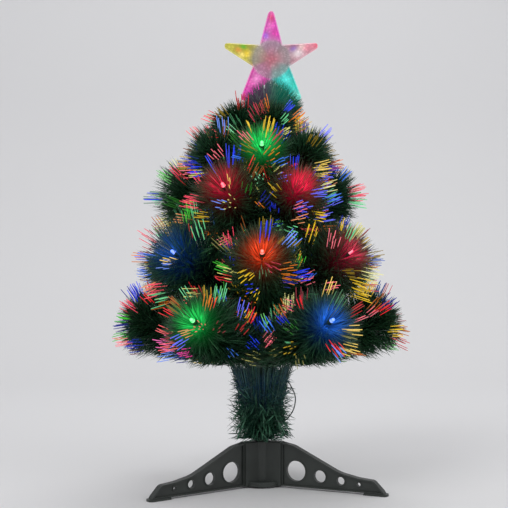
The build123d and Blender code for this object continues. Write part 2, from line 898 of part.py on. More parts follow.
def build_star_shell(facing, with_posts):
    """Half of the star's casing, open towards the middle plane."""
    plane = star_plane(facing)
    inner_depth = star_half_depth - star_wall
    with BuildPart() as shell:
        with BuildSketch(plane):
            add(star_outline(0, star_tip_round))
        extrude(amount=star_half_depth, taper=star_slope)
        with BuildSketch(plane):
            add(star_outline(star_wall, star_tip_round - star_wall))
        extrude(amount=inner_depth, taper=star_slope, mode=Mode.SUBTRACT)
        if with_posts:
            foot = board_setback + board_thickness
            with BuildSketch(plane.offset(foot)) as posts:
                with GridLocations(board_post_spacing, board_post_spacing, 2, 1):
                    Circle(board_post_radius)
            extrude(amount=inner_depth - foot + star_wall / 2)
        with Locations(Plane(origin=(star_offset, 0, star_socket_bottom))):
            Cylinder(
                star_socket_radius + loose_fit,
                star_flange_bottom - star_socket_bottom,
                align=(Align.CENTER, Align.CENTER, Align.MIN),
                mode=Mode.SUBTRACT,
            )
    return shell.part


def build_star():
    """The star's five nodes."""
    save(build_star_shell(1, False), "star_front_shell")
    save(build_star_shell(-1, True), "star_back_shell")
    board_plane = star_plane(-1).offset(board_setback)
    with BuildPart() as star_board:
        with BuildSketch(board_plane):
            Circle(board_radius)
        extrude(amount=board_thickness)
    save(star_board.part, "star_light_board")
    led_plane = star_plane(1).offset(-board_setback)
    with BuildPart() as star_leds:
        with BuildSketch(led_plane):
            with PolarLocations(star_led_orbit, star_points, start_angle=90):
                Circle(star_led_radius)
        extrude(amount=star_led_length)
    save(star_leds.part, "star_leds")
    bore_top = leader_top + running_fit
    with BuildPart() as star_socket:
        with BuildSketch(Plane(origin=(star_offset, 0, star_socket_bottom))):
            Circle(star_socket_radius)
        extrude(amount=star_socket_top - star_socket_bottom)
        with BuildSketch(Plane(origin=(star_offset, 0, star_flange_bottom))):
            Circle(star_flange_radius)
        extrude(amount=star_flange_thickness)
        with BuildSketch(Plane(origin=(star_offset, 0, star_socket_bottom))):
            Circle(leader_radius + running_fit)
        extrude(amount=bore_top - star_socket_bottom, mode=Mode.SUBTRACT)
    save(star_socket.part, "star_socket")


# Tuft under the star
def tuft_strand_ends():
    """Foot and tip of each strand: upright ones before and behind the star, level ones beside it."""
    ends = []
    for i in range(tuft_strands):
        azimuth = strand_turn * i % 360
        share = (i + 1 / 2) / tuft_strands
        height = tuft_shoulder + (tuft_top - tuft_shoulder) * share * tuft_strand_span_share
        off_face = min(angle_between(azimuth, 0), angle_between(azimuth, 180))
        if off_face < tuft_face_angle:
            reach, rise = tuft_face_reach, tuft_face_rise
        else:
            reach, rise = tuft_side_reach, tuft_side_rise * (1 - share)
        centre = Vector(star_offset, 0, height)
        foot = centre + outward(azimuth) * (tuft_radius - strand_width)
        tip = centre + outward(azimuth) * reach + Vector(0, 0, rise)
        ends.append((tuple(foot), tuple(tip)))
    return ends


def build_tuft():
    """Tinsel on the leader, from above the pole to the star's points."""
    rings = ring_points((tuft_foot_offset, 0), tuft_foot_radius, brush_sides, tuft_foot)
    rings += ring_points((star_offset, 0), tuft_radius, brush_sides, tuft_shoulder)
    rings += ring_points((star_offset, 0), tuft_radius, brush_sides, tuft_top)
    with BuildPart() as leader_tinsel:
        ConvexPolyhedron(rings)
        add(
            [
                ConvexPolyhedron(strand_points(foot, tip), mode=Mode.PRIVATE)
                for foot, tip in tuft_strand_ends()
            ]
        )
        add(leader_wire(leader_radius + running_fit), mode=Mode.SUBTRACT)
    save(leader_tinsel.part, "leader_tinsel")


build_hub()
build_legs()
build_pole()
build_leader()
build_collars()
build_hinge_pins()
build_branches()
build_lamps()
build_source()
build_harness()
build_trunk_tinsel()
build_inlet()
build_lead()
build_star()
build_tuft()
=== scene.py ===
import math

import bpy
import numpy as np
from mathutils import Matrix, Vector


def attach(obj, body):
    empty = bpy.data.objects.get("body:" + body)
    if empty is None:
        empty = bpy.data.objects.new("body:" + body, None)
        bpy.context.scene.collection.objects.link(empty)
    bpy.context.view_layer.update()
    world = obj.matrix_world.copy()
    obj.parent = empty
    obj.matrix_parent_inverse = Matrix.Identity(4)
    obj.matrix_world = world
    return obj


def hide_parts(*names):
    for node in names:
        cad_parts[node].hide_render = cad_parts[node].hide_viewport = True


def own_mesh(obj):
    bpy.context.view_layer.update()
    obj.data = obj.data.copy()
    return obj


# Fibre optic Christmas tree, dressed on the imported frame. Metres, +Z up, the front faces -Y.
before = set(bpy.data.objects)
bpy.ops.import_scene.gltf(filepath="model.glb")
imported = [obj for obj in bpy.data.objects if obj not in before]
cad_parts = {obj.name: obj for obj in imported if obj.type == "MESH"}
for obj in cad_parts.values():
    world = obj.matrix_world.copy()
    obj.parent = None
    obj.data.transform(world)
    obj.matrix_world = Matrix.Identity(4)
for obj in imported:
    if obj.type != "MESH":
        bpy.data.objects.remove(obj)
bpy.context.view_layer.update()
MM = 0.001

# Branches, as in the CAD: hinge height, rise in degrees, brush length, core reach, first azimuth, count
TIERS = [
    (0.158, 25.0, 0.152, 0.041, 30.0, 6),
    (0.244, 31.0, 0.118, 0.036, 0.0, 6),
    (0.334, 38.0, 0.090, 0.030, 30.0, 6),
    (0.396, 42.0, 0.070, 0.026, 0.0, 6),
    (0.447, 68.0, 0.046, 0.019, 30.0, 3),
]
# Full needles of each tier: reach to the sides and past the wire's end, and share of it below
REACHES = [0.060, 0.058, 0.054, 0.048, 0.043]
END_REACHES = [0.043, 0.050, 0.052, 0.046, 0.030]
BELOW_SHARES = [0.92, 0.95, 1.0, 1.0, 1.0]
# How many: needles along a branch, needles at its end, bunches of fibres
NEEDLES = [3100, 2800, 2300, 1800, 1150]
END_NEEDLES = [720, 760, 680, 560, 320]
CLUSTERS = [36, 34, 30, 24, 18]
# Branches whose needles stand further out, as shares of their tier's reach
FULLER = {
    (0, 2): 1.02, (0, 5): 1.08, (1, 2): 1.10, (1, 3): 1.14, (1, 5): 1.32, (1, 6): 1.30,
    (2, 2): 1.04, (2, 5): 1.32, (2, 6): 1.10, (3, 5): 1.12, (3, 6): 1.10, (4, 3): 1.22,
}
# The lowest tier's needles end at about one height
LOWEST_NEEDLE, LOWEST_SPREAD = 0.173, (-0.006, 0.010)
GOLDEN_TURN = 2.399963
# Hinge's distance from the pole's axis, and where the brush starts on its wire
HINGE_RADIUS = 0.014
BRUSH_START = 0.014
# How far the core goes on past the brush's length, as a share of the core's reach
CORE_END_SHARE = 0.30

# Needles: where they root, how short they are at the hinge and up to where, how they lean, how long they are
ROOT_RADIUS = 0.0012
INNER_SHARE = 0.72
FULL_FROM_SHARE = 0.4
LEAN_SHARES = (0.1, 0.75)
LENGTH_SHARES = (0.62, 1.0)
NEEDLE_THICKNESS, NEEDLE_WIDTHS = 0.00035, (0.0010, 0.0016)
# The end needles: how far back they root, and the width of their dome as a share of the full reach
END_ROOTS, END_DOME_SHARE = (0.0, 0.006), 0.95
# Tips of the lowest tier that hang lower than this turn up instead
UPTURNED_OVER = 0.014
# Degrees off the wire's line: least for the end needles, with a lamp there and without, and most
OPEN_ANGLE, CLOSED_ANGLE, WIDEST_ANGLE = 24, 2, 88

# Where strips bend, and where curled ones have a ring
BEND_SHARE = 0.68
CURLED_SHARES = (0.0, 0.3, 0.6, 0.85)
# A third of a curled strip's thickness, and the share of its width that each edge draws in to the tip
CURLED_THIRD, CURLED_TAPER = 0.00012, 0.22
# Vertices of a pointed, a blunt and a curled strip
POINTED_VERTS, BLUNT_VERTS, CURLED_VERTS = 7, 9, 13

# Fibres: distance in a bunch, how unevenly they end, and the lowest one's height over the needles' ends
FIBRE_SPACING, FIBRE_UNEVEN, FIBRE_LIFT = 0.0037, 0.003, 0.008
# Least distance of their near ends from the brush's start and from the wire's end
FIBRE_MARGINS = (0.004, 0.003)
STALK_WIDTH, STALK_THICKNESS = 0.0006, 0.0005
LIT_LENGTHS, LIT_WIDTHS, LIT_THICKNESS = (0.014, 0.024), (0.0009, 0.0012), 0.0009

# Lamps: colours of the lenses, which also glow on the needles, then each lamp's tier, branch and colour
LAMP_COLOURS = {
    "blue": (0.02, 0.17, 1.0), "green": (0.02, 0.90, 0.14), "red": (1.0, 0.012, 0.07),
    "orange": (1.0, 0.055, 0.012), "pink": (1.0, 0.02, 0.11), "amber": (1.0, 0.55, 0.04),
}
LAMPS = {
    1: (0, 1, "blue"), 2: (0, 6, "green"), 3: (0, 3, "green"), 4: (0, 4, "amber"),
    5: (1, 1, "orange"), 6: (1, 2, "pink"), 7: (1, 6, "blue"), 8: (1, 4, "red"),
    9: (2, 1, "red"), 10: (2, 6, "red"), 11: (2, 3, "blue"), 12: (3, 1, "green"),
}
LENS_RISE = 0.010
# The third tier's front right lamp sits deep in the needles and shows only as a glow
HIDDEN_LAMP = 9
SEEN_LAMPS = {spot[:2] for number, spot in LAMPS.items() if number != HIDDEN_LAMP}
# Glow on the needles round a lamp: radius in mm and level of its core, halo and haze
GLOWS = [(9.0, 2.0), (15.5, 0.75), (27.0, 0.03)]
# Free way of a lamp's light: how far it goes along the branch and to the front or back, its radius and spread
LIGHT_ALONG, LIGHT_OUT = 0.12, 1.0
LIGHT_RADIUS, LIGHT_SPREAD = 0.0042, 0.10


# Geometry helpers
def unit(v):
    return v / np.linalg.norm(v, axis=-1, keepdims=True)


def outward(azimuth):
    a = math.radians(azimuth)
    return np.array([math.sin(a), -math.cos(a), 0.0])


def sideways(azimuth):
    a = math.radians(azimuth)
    return np.array([math.cos(a), math.sin(a), 0.0])


UP = np.array([0.0, 0.0, 1.0])


def branch_frame(tier, azimuth):
    """Hinge point and the branch's side, upper and long directions."""
    height, rise = TIERS[tier][0], math.radians(TIERS[tier][1])
    out = outward(azimuth)
    hinge = out * HINGE_RADIUS + UP * height
    along = out * math.cos(rise) + UP * math.sin(rise)
    upper = -out * math.sin(rise) + UP * math.cos(rise)
    return hinge, np.array([sideways(azimuth), upper, along])


def placed(local, where):
    """Local (side, up, along) points, in the row frame."""
    hinge, axes = where
    return hinge + np.asarray(local) @ axes


def branch_azimuth(tier, number):
    return TIERS[tier][4] + 360 / TIERS[tier][5] * (number - 1)


def lamp_spot(number):
    """Centre of a lamp's lens in the row frame."""
    tier, branch = LAMPS[number][:2]
    length, reach = TIERS[tier][2:4]
    end = length + reach * CORE_END_SHARE + LENS_RISE
    return placed([0, 0, end], branch_frame(tier, branch_azimuth(tier, branch)))


LAMP_PLACES = {number: lamp_spot(number) for number in LAMPS}


def new_mesh(name, verts, faces, smooth=False):
    mesh = bpy.data.meshes.new(name)
    mesh.from_pydata([tuple(v) for v in verts], [], [tuple(f) for f in faces])
    mesh.update()
    if smooth:
        mesh.polygons.foreach_set("use_smooth", [True] * len(mesh.polygons))
    return mesh


def piece(name, mesh, body, material, replaced=()):
    obj = bpy.data.objects.new(name, mesh)
    bpy.context.scene.collection.objects.link(obj)
    obj.data.materials.append(material)
    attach(obj, body)
    if replaced:
        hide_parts(*replaced)
    return obj


def formed(name, shape, body, material, replaced=()):
    """A smooth piece from its vertices and faces."""
    return piece(name, new_mesh(name, *shape, True), body, material, replaced)


def paint(mesh, name, colours):
    """Colour attribute on the mesh's points."""
    layer = mesh.attributes.new(name, "FLOAT_COLOR", "POINT")
    flat = np.ones((len(colours), 4), np.float32)
    flat[:, :3] = colours
    layer.data.foreach_set("color", flat.ravel())


def strips(rings, tips=None):
    """Vertices and faces of closed strips through rings of three corners, to a point or a flat end."""
    starts, last = np.arange(len(rings[0]))[:, None], 3 * len(rings) - 3
    sides = ((0, 1), (1, 2), (2, 0))
    pattern = [(0, 2, 1)]
    for low in range(0, last, 3):
        pattern += [(low + a, low + b, low + b + 3, low + a + 3) for a, b in sides]
    if tips is None:
        pattern.append((last, last + 1, last + 2))
    else:
        rings = [*rings, tips[:, None]]
        pattern += [(last + a, last + b, last + 3) for a, b in sides]
    verts = np.concatenate(rings, 1)
    faces = []
    for face in pattern:
        faces += (starts * verts.shape[1] + np.array(face)).tolist()
    return verts.reshape(-1, 3), faces


def slivers(roots, tips, widths, thick, rng, sag, blunt=0.0):
    """Closed three-sided strips from roots to tips, with a bend in each.

    Returns the vertices, the faces and each vertex's share of its strip's length.
    """
    count = len(roots)
    d = unit(tips - roots)
    helper = unit(rng.normal(size=(count, 3)))
    u = unit(np.cross(d, helper))
    v = np.cross(d, u)
    length = np.linalg.norm(tips - roots, axis=1, keepdims=True)
    middle = roots + (tips - roots) * BEND_SHARE + sag * length
    w = widths[:, None] / 2
    third = thick / 3
    corners = np.stack([w * u - third * v, 2 * third * v, -w * u - third * v], 1)
    rings = [roots[:, None] + corners, middle[:, None] + corners]
    share = [0] * 3 + [BEND_SHARE] * 3
    if blunt:
        verts, faces = strips([*rings, tips[:, None] + corners * blunt])
        share += [1] * 3
    else:
        verts, faces = strips(rings, tips)
        share += [1]
    return verts, faces, np.tile(share, count)


# Materials
def material(name):
    mat = bpy.data.materials.new(name)
    mat.use_nodes = True
    return mat, mat.node_tree.nodes, mat.node_tree.links, mat.node_tree.nodes["Principled BSDF"]


def settle(node, values):
    """Plain values, set on the node's own sockets."""
    for socket, value in values.items():
        node.inputs[socket].default_value = value


def noise(nodes, links, scale, detail, where=None):
    node = nodes.new("ShaderNodeTexNoise")
    settle(node, {"Scale": scale, "Detail": detail})
    if where is None:
        where = nodes.new("ShaderNodeTexCoord").outputs["Object"]
    links.new(where, node.inputs["Vector"])
    return node


def ramp(nodes, links, source, stops):
    """Colours from a value. Stops are (position, colour)."""
    node = nodes.new("ShaderNodeValToRGB")
    while len(node.color_ramp.elements) < len(stops):
        node.color_ramp.elements.new(0.5)
    for element, (at, colour) in zip(node.color_ramp.elements, stops):
        element.position = at
        element.color = (*colour, 1.0)
    links.new(source, node.inputs["Fac"])
    return node


def toned(nodes, links, bsdf, source, stops):
    """Base colour from a ramp. Returns the ramp."""
    tone = ramp(nodes, links, source.outputs["Fac"], stops)
    links.new(tone.outputs["Color"], bsdf.inputs["Base Color"])
    return tone


def painted(nodes, name):
    """Node that reads an attribute painted on the mesh."""
    node = nodes.new("ShaderNodeAttribute")
    node.attribute_name = name
    return node


def bump(nodes, links, bsdf, source, strength, distance):
    """Relief from a texture's first output."""
    node = nodes.new("ShaderNodeBump")
    settle(node, {"Strength": strength, "Distance": distance})
    links.new(source.outputs[0], node.inputs["Height"])
    links.new(node.outputs["Normal"], bsdf.inputs["Normal"])


def uneven_gloss(nodes, links, bsdf, source, low, high):
    """Roughness that a noise moves between two values."""
    node = nodes.new("ShaderNodeMapRange")
    settle(node, {"To Min": low, "To Max": high})
    links.new(source.outputs["Fac"], node.inputs["Value"])
    links.new(node.outputs["Result"], bsdf.inputs["Roughness"])


def moulded(name, colour, roughness, grain=900.0):
    """Injection-moulded plastic: spark texture, faint flow marks and slightly uneven gloss."""
    mat, nodes, links, bsdf = material(name)
    flow = noise(nodes, links, 22.0, 3.0)
    dark = tuple(c * 0.78 for c in colour)
    light = tuple(min(1.0, c * 1.3 + 0.006) for c in colour)
    toned(nodes, links, bsdf, flow, [(0.3, dark), (0.72, light)])
    fine = noise(nodes, links, grain, 2.0)
    uneven_gloss(nodes, links, bsdf, flow, roughness - 0.09, roughness + 0.09)
    bump(nodes, links, bsdf, fine, 0.35, 0.00008)
    return mat


def needle_material(name, dark, light):
    """Cut green film: each needle has its own shade, paler to its tip, and picks up the glow of the lamps."""
    mat, nodes, links, bsdf = material(name)
    toned(nodes, links, bsdf, painted(nodes, "shade"), [(0.0, dark), (1.0, light)])
    links.new(painted(nodes, "glow").outputs["Color"], bsdf.inputs["Emission Color"])
    settle(bsdf, {"Emission Strength": 1.0, "Roughness": 0.42, "Specular IOR Level": 0.45})
    fine = noise(nodes, links, 1400.0, 1.0)
    bump(nodes, links, bsdf, fine, 0.2, 0.0001)
    return mat


def lit_material():
    """Fibre ends that glow in the hue painted on them."""
    mat, nodes, links, bsdf = material("fibre_glow")
    links.new(painted(nodes, "hue").outputs["Color"], bsdf.inputs["Emission Color"])
    fine = noise(nodes, links, 600.0, 2.0)
    toned(nodes, links, bsdf, fine, [(0.3, (0.02, 0.02, 0.02)), (0.7, (0.032, 0.032, 0.032))])
    settle(bsdf, {"Emission Strength": 1.0, "Roughness": 0.3})
    return mat


NEEDLE = needle_material("needle_film", (0.004, 0.024, 0.011), (0.038, 0.140, 0.058))
TRUNK_NEEDLE = needle_material("trunk_film", (0.005, 0.030, 0.020), (0.060, 0.190, 0.110))
LIT = lit_material()
STAND = moulded("stand_moulding", (0.022, 0.027, 0.024), 0.46)
POLE = moulded("pole_extrusion", (0.015, 0.055, 0.028), 0.5)
BLACK = moulded("black_moulding", (0.016, 0.016, 0.017), 0.42)
SOCKET = moulded("lamp_socket_moulding", (0.012, 0.050, 0.026), 0.45)
LEAD = moulded("lead_sleeve", (0.045, 0.060, 0.052), 0.38, grain=500.0)
CLEAR_SOCKET = moulded("socket_clear", (0.60, 0.62, 0.62), 0.3)
BOARD = moulded("board_mask", (0.72, 0.72, 0.68), 0.4)


def metal(name, scale, detail, stops, metallic, gloss):
    """Drawn wire, bare or coated, with a fine grain."""
    mat, nodes, links, bsdf = material(name)
    grain = noise(nodes, links, scale, detail)
    toned(nodes, links, bsdf, grain, stops)
    settle(bsdf, {"Metallic": metallic})
    uneven_gloss(nodes, links, bsdf, grain, *gloss)
    return mat


def fibre_material():
    """Clear acrylic strand, faintly cloudy."""
    mat, nodes, links, bsdf = material("clear_fibre")
    cloud = noise(nodes, links, 300.0, 2.0)
    toned(nodes, links, bsdf, cloud, [(0.3, (0.42, 0.50, 0.46)), (0.7, (0.62, 0.68, 0.64))])
    settle(bsdf, {"Roughness": 0.18, "Transmission Weight": 0.75, "IOR": 1.49})
    return mat


WIRE_TONES = [(0.3, (0.010, 0.035, 0.018)), (0.75, (0.035, 0.080, 0.045))]
STEEL_TONES = [(0.3, (0.42, 0.42, 0.44)), (0.7, (0.62, 0.62, 0.64))]
WIRE = metal("twisted_wire", 700.0, 3.0, WIRE_TONES, 0.6, (0.3, 0.5))
STEEL = metal("drawn_steel", 1500.0, 2.0, STEEL_TONES, 1.0, (0.22, 0.4))
FIBRE = fibre_material()


def lens_material(name, colour, core):
    """Tinted lens, whitest along its middle where the chip sits."""
    mat, nodes, links, bsdf = material(name)
    weight = nodes.new("ShaderNodeLayerWeight")
    weight.inputs["Blend"].default_value = 0.35
    tint = ramp(nodes, links, weight.outputs["Facing"], [(0.0, core), (0.45, colour)])
    links.new(tint.outputs["Color"], bsdf.inputs["Emission Color"])
    cloud = noise(nodes, links, 500.0, 2.0)
    toned(nodes, links, bsdf, cloud, [(0.3, tuple(c * 0.5 for c in colour)), (0.7, colour)])
    settle(bsdf, {"Emission Strength": 1.25, "Roughness": 0.12, "Coat Weight": 0.4})
    return mat


LENSES = {}
for colour, hue in LAMP_COLOURS.items():
    LENSES[colour] = lens_material(f"lens_{len(LENSES)}", hue, tuple(0.34 + 0.66 * c for c in hue))


# Needles
def glow_at(points):
    """Colour of the lamps' light on the needles near them."""
    total = np.zeros((len(points), 3))
    for number, place in LAMP_PLACES.items():
        distance = np.linalg.norm(points - place, axis=1) / MM
        near = sum(np.exp(-((distance / radius) ** 2)) * level for radius, level in GLOWS)
        total += near[:, None] * np.array(LAMP_COLOURS[LAMPS[number][2]])
    return total


def reach_at(tier, fuller, s, angle):
    """How far the needles stand off the wire at a place along it, rounded past the wire's end."""
    length, full = TIERS[tier][2], REACHES[tier] * fuller
    grown = full * (INNER_SHARE + (1 - INNER_SHARE) * np.clip(s / (FULL_FROM_SHARE * length), 0, 1))
    past = np.clip((s - length) / (END_REACHES[tier] * fuller), 0, 1)
    rounded = np.sqrt(np.clip(1 - past**2, 0, 1))
    share = np.where(np.sin(angle) > 0, 1.0, BELOW_SHARES[tier])
    return grown * rounded * np.hypot(np.cos(angle), share * np.sin(angle))


def raised(tier, tips, rng, lift=0.0):
    """Tips of one tier: none of the lowest one's stays under the height where its needles end."""
    if tier:
        return tips
    height, rise = TIERS[tier][0], math.radians(TIERS[tier][1])
    z = height + tips[:, 1] * math.cos(rise) + tips[:, 2] * math.sin(rise)
    short = np.clip(LOWEST_NEEDLE + lift + rng.uniform(*LOWEST_SPREAD, len(tips)) - z, 0, None)
    upturned = short > UPTURNED_OVER
    tips[upturned, 1] *= -1
    tips[~upturned, 1] += short[~upturned] / math.cos(rise)
    return tips


def parted(points):
    """True for the strands, given as rows of points along each, that leave the lamps' light free."""
    free = np.ones(len(points), bool)
    for number, place in LAMP_PLACES.items():
        if number == HIDDEN_LAMP:
            continue
        tier, branch = LAMPS[number][:2]
        along = branch_frame(tier, branch_azimuth(tier, branch))[1][2]
        ray = unit(LIGHT_ALONG * along + np.array([0.0, math.copysign(LIGHT_OUT, place[1]), 0.0]))
        t = (points - place) @ ray
        beside = np.linalg.norm(points - place - t[..., None] * ray, axis=-1)
        free &= ~((t > -MM) & (beside < LIGHT_RADIUS + LIGHT_SPREAD * np.clip(t, 0, None))).any(axis=1)
    return free


def along_strand(roots, tips, steps=9):
    """Points along each strand, one row a strand."""
    share = np.linspace(0.2, 1.0, steps)[None, :, None]
    return roots[:, None, :] * (1 - share) + tips[:, None, :] * share


def brush(tier, fuller, open_end, rng):
    """Needle roots and tips of one branch, in its own axes. The end stays open in front of a lamp."""
    length, full, past = TIERS[tier][2], REACHES[tier] * fuller, END_REACHES[tier] * fuller
    count, ends = int(NEEDLES[tier] * fuller), int(END_NEEDLES[tier] * fuller)
    s = BRUSH_START + 2 * MM + (length - BRUSH_START) * np.sort(rng.random(count))
    angle = np.arange(count) * GOLDEN_TURN + rng.normal(0, 0.15, count)
    tip_s = s + rng.uniform(*LEAN_SHARES, count) * past
    tip_r = reach_at(tier, fuller, tip_s, angle) * rng.uniform(*LENGTH_SHARES, count)
    tips = np.stack([tip_r * np.cos(angle), tip_r * np.sin(angle), tip_s], 1)
    roots = np.stack([ROOT_RADIUS * np.cos(angle), ROOT_RADIUS * np.sin(angle), s], 1)
    e_angle = rng.uniform(0, 2 * math.pi, ends)
    polar = np.radians(rng.uniform(OPEN_ANGLE if open_end else CLOSED_ANGLE, WIDEST_ANGLE, ends))
    e_reach = rng.uniform(*LENGTH_SHARES, ends)
    wide = np.maximum(full * END_DOME_SHARE, past) * e_reach * np.sin(polar)
    e_share = np.where(np.sin(e_angle) > 0, 1.0, BELOW_SHARES[tier])
    e_along = length + past * e_reach * np.cos(polar)
    e_tips = [wide * np.cos(e_angle), wide * np.sin(e_angle) * e_share, e_along]
    e_roots = [MM * np.cos(e_angle), MM * np.sin(e_angle), length - rng.uniform(*END_ROOTS, ends)]
    roots = np.concatenate([roots, np.stack(e_roots, 1)])
    return roots, raised(tier, np.concatenate([tips, np.stack(e_tips, 1)]), rng)


def shade(mesh, rng, count, share, per, paler=0.0):
    """A shade for each needle, paler to its tip."""
    own = np.repeat(np.clip(rng.normal(0.42, 0.24, count), 0, 1), per)
    values = np.clip(own * (0.35 + 0.75 * share), 0, 1) + paler
    layer = mesh.attributes.new("shade", "FLOAT", "POINT")
    layer.data.foreach_set("value", values.astype(np.float32))


def needle_mesh(name, roots, tips, widths, rng, sag, light=None):
    """Needles with their shades and the glow of the lamps, and of another light if there is one."""
    verts, faces, share = slivers(roots, tips, widths, NEEDLE_THICKNESS, rng, sag)
    mesh = new_mesh(name, verts, faces)
    shade(mesh, rng, len(roots), share, POINTED_VERTS)
    paint(mesh, "glow", glow_at(verts) + (light(verts) if light else 0))
    return mesh


# Fibres
PALETTE = {
    "red": (0.95, 0.020, 0.030), "rose": (0.95, 0.070, 0.130), "yellow": (0.92, 0.60, 0.020),
    "pale": (0.75, 0.72, 0.20), "mint": (0.16, 0.70, 0.30), "blue": (0.015, 0.045, 0.95),
    "sky": (0.045, 0.20, 0.95), "orange": (0.80, 0.20, 0.010), "green": (0.045, 0.52, 0.030),
    "magenta": (0.90, 0.040, 0.38),
}
LEFT = "red red rose rose mint blue blue sky yellow orange green pale magenta".split()
RIGHT = ["yellow"] * 5 + "rose red pale mint blue sky orange red green rose".split()
MIDDLE = "blue blue sky yellow pale mint green red rose orange".split()
TOP_LEFT = "red red rose rose orange mint yellow".split()
TOP_RIGHT = "yellow yellow orange pale blue rose mint".split()
TOP_FROM, MIDDLE_WITHIN = 0.44, 0.045


def palette_for(point):
    """The colours that the photo shows in that part of the tree."""
    x, z = point[0], point[2]
    if z > TOP_FROM:
        return TOP_LEFT if x < 0 else TOP_RIGHT
    if abs(x) < MIDDLE_WITHIN:
        return MIDDLE
    return LEFT if x < 0 else RIGHT


def cluster(tier, fuller, number, rng):
    """One bunch of fibres in a branch's own axes: near ends, start of the lit ends, and tips."""
    length, past = TIERS[tier][2], END_REACHES[tier] * fuller
    angle = number * GOLDEN_TURN + rng.normal(0, 0.25)
    if number % 3 == 2:
        tip_s = length + past * rng.uniform(0.35, 0.92)
    else:
        tip_s = rng.uniform(0.35 * length, length + 0.4 * past)
    reach = float(reach_at(tier, fuller, tip_s, angle)) * rng.uniform(0.92, 1.10)
    back = max(reach, 0.4 * past) * rng.uniform(0.75, 1.5)
    from_start, from_end = FIBRE_MARGINS
    root = np.array([0.0, 0.0, min(max(tip_s - back, BRUSH_START + from_start), length - from_end)])
    centre = np.array([[reach * math.cos(angle), reach * math.sin(angle), tip_s]])
    centre = raised(tier, centre, rng, FIBRE_LIFT)[0]
    way = unit(centre - root)
    across = unit(np.cross(way, [0.3, 0.5, 0.8]))
    other = np.cross(way, across)
    count = int(rng.integers(2, 4)) if number % 5 == 4 else int(rng.integers(5, 9))
    k = np.arange(count)
    turn = k * GOLDEN_TURN + rng.uniform(0, 6)
    spread = FIBRE_SPACING * np.sqrt(k) * rng.uniform(0.85, 1.15)
    offset = (spread * np.cos(turn))[:, None] * across + (spread * np.sin(turn))[:, None] * other
    tips = centre + offset + rng.normal(0, FIBRE_UNEVEN, count)[:, None] * way
    size = np.linalg.norm(centre - root)
    lit = np.minimum(rng.uniform(*LIT_LENGTHS, count), size * 0.6)
    return root + offset * 0.12, tips - lit[:, None] * unit(way * size + offset * 0.45), tips


def fibre_strands(tier, fuller, where, rng):
    """Near ends, start of the lit ends, tips and colours of one branch's fibres, in the row frame."""
    bunches, hues = [], []
    for number in range(int(CLUSTERS[tier] * fuller)):
        bunch = cluster(tier, fuller, number, rng)
        colour = np.array(PALETTE[rng.choice(palette_for(placed(bunch[0][0], where)))])
        level = rng.choice([1.0, 1.0, 1.0, 0.55, 0.28])
        whiter = 0.12 if level == 1.0 and rng.random() < 0.4 else 0.0
        hues.append(colour * level * rng.uniform(0.75, 1.1, (len(bunch[0]), 1)) + whiter)
        bunches.append(bunch)
    near, lit, tips = [placed(np.concatenate([bunch[i] for bunch in bunches]), where) for i in range(3)]
    free = parted(along_strand(near, tips))
    return near[free], lit[free], tips[free], np.concatenate(hues)[free]


def fibre_meshes(name, strands, rng):
    """Clear stalks in one mesh, their lit ends in another."""
    starts, lits, tips, hues = strands
    count = len(starts)
    none = np.zeros((count, 3))
    widths = np.full(count, STALK_WIDTH)
    verts, faces, _ = slivers(starts, lits, widths, STALK_THICKNESS, rng, none, blunt=1.0)
    stalk = new_mesh(name + "_stalks", verts, faces)
    widths = rng.uniform(*LIT_WIDTHS, count)
    verts, faces, _ = slivers(lits, tips, widths, LIT_THICKNESS, rng, none, blunt=0.8)
    lit = new_mesh(name + "_lit", verts, faces)
    fade = np.tile([0.7] * 3 + [1.0] * (BLUNT_VERTS - 3), count)[:, None]
    paint(lit, "hue", np.repeat(hues, BLUNT_VERTS, axis=0) * fade)
    return stalk, lit


# Wire stems
def ring_faces(rings, sides, closed=False):
    """Faces between rings of vertices, with a cap at each end unless they close on themselves."""
    faces = []
    for i in range(rings if closed else rings - 1):
        j = (i + 1) % rings
        for k in range(sides):
            m = (k + 1) % sides
            faces.append((i * sides + k, i * sides + m, j * sides + m, j * sides + k))
    if not closed:
        faces.append(tuple(range(sides - 1, -1, -1)))
        faces.append(tuple((rings - 1) * sides + k for k in range(sides)))
    return faces


def tube(points, radius, sides=6, closed=False):
    """Vertices and faces of a tube along a line of points."""
    points = np.asarray(points, float)
    count = len(points)
    ahead = np.roll(points, -1, 0) - np.roll(points, 1, 0)
    if not closed:
        ahead[0], ahead[-1] = points[1] - points[0], points[-1] - points[-2]
    t = unit(ahead)
    u = np.cross(t[0], UP if abs(t[0][2]) < 0.9 else np.array([1.0, 0, 0]))
    verts = []
    for i in range(count):
        u = u - t[i] * np.dot(u, t[i])
        u = u / np.linalg.norm(u)
        v = np.cross(t[i], u)
        for k in range(sides):
            a = 2 * math.pi * k / sides
            verts.append(points[i] + radius * (math.cos(a) * u + math.sin(a) * v))
    return verts, ring_faces(count, sides, closed)


def joined(parts):
    """One list of vertices and faces from several."""
    verts, faces = [], []
    for part_verts, part_faces in parts:
        base = len(verts)
        verts += [tuple(v) for v in part_verts]
        faces += [tuple(i + base for i in f) for f in part_faces]
    return verts, faces


WIRE_RADIUS, TWIST_RADIUS, TWIST_PITCH, TWIST_STEP = 0.00085, 0.00095, 0.0065, 0.0012
EYE_RADIUS, EYE_HALF_WIDTH, EYE_WIRE_RADIUS, EYE_STEPS = 0.00225, 0.0011, 0.0009, 20


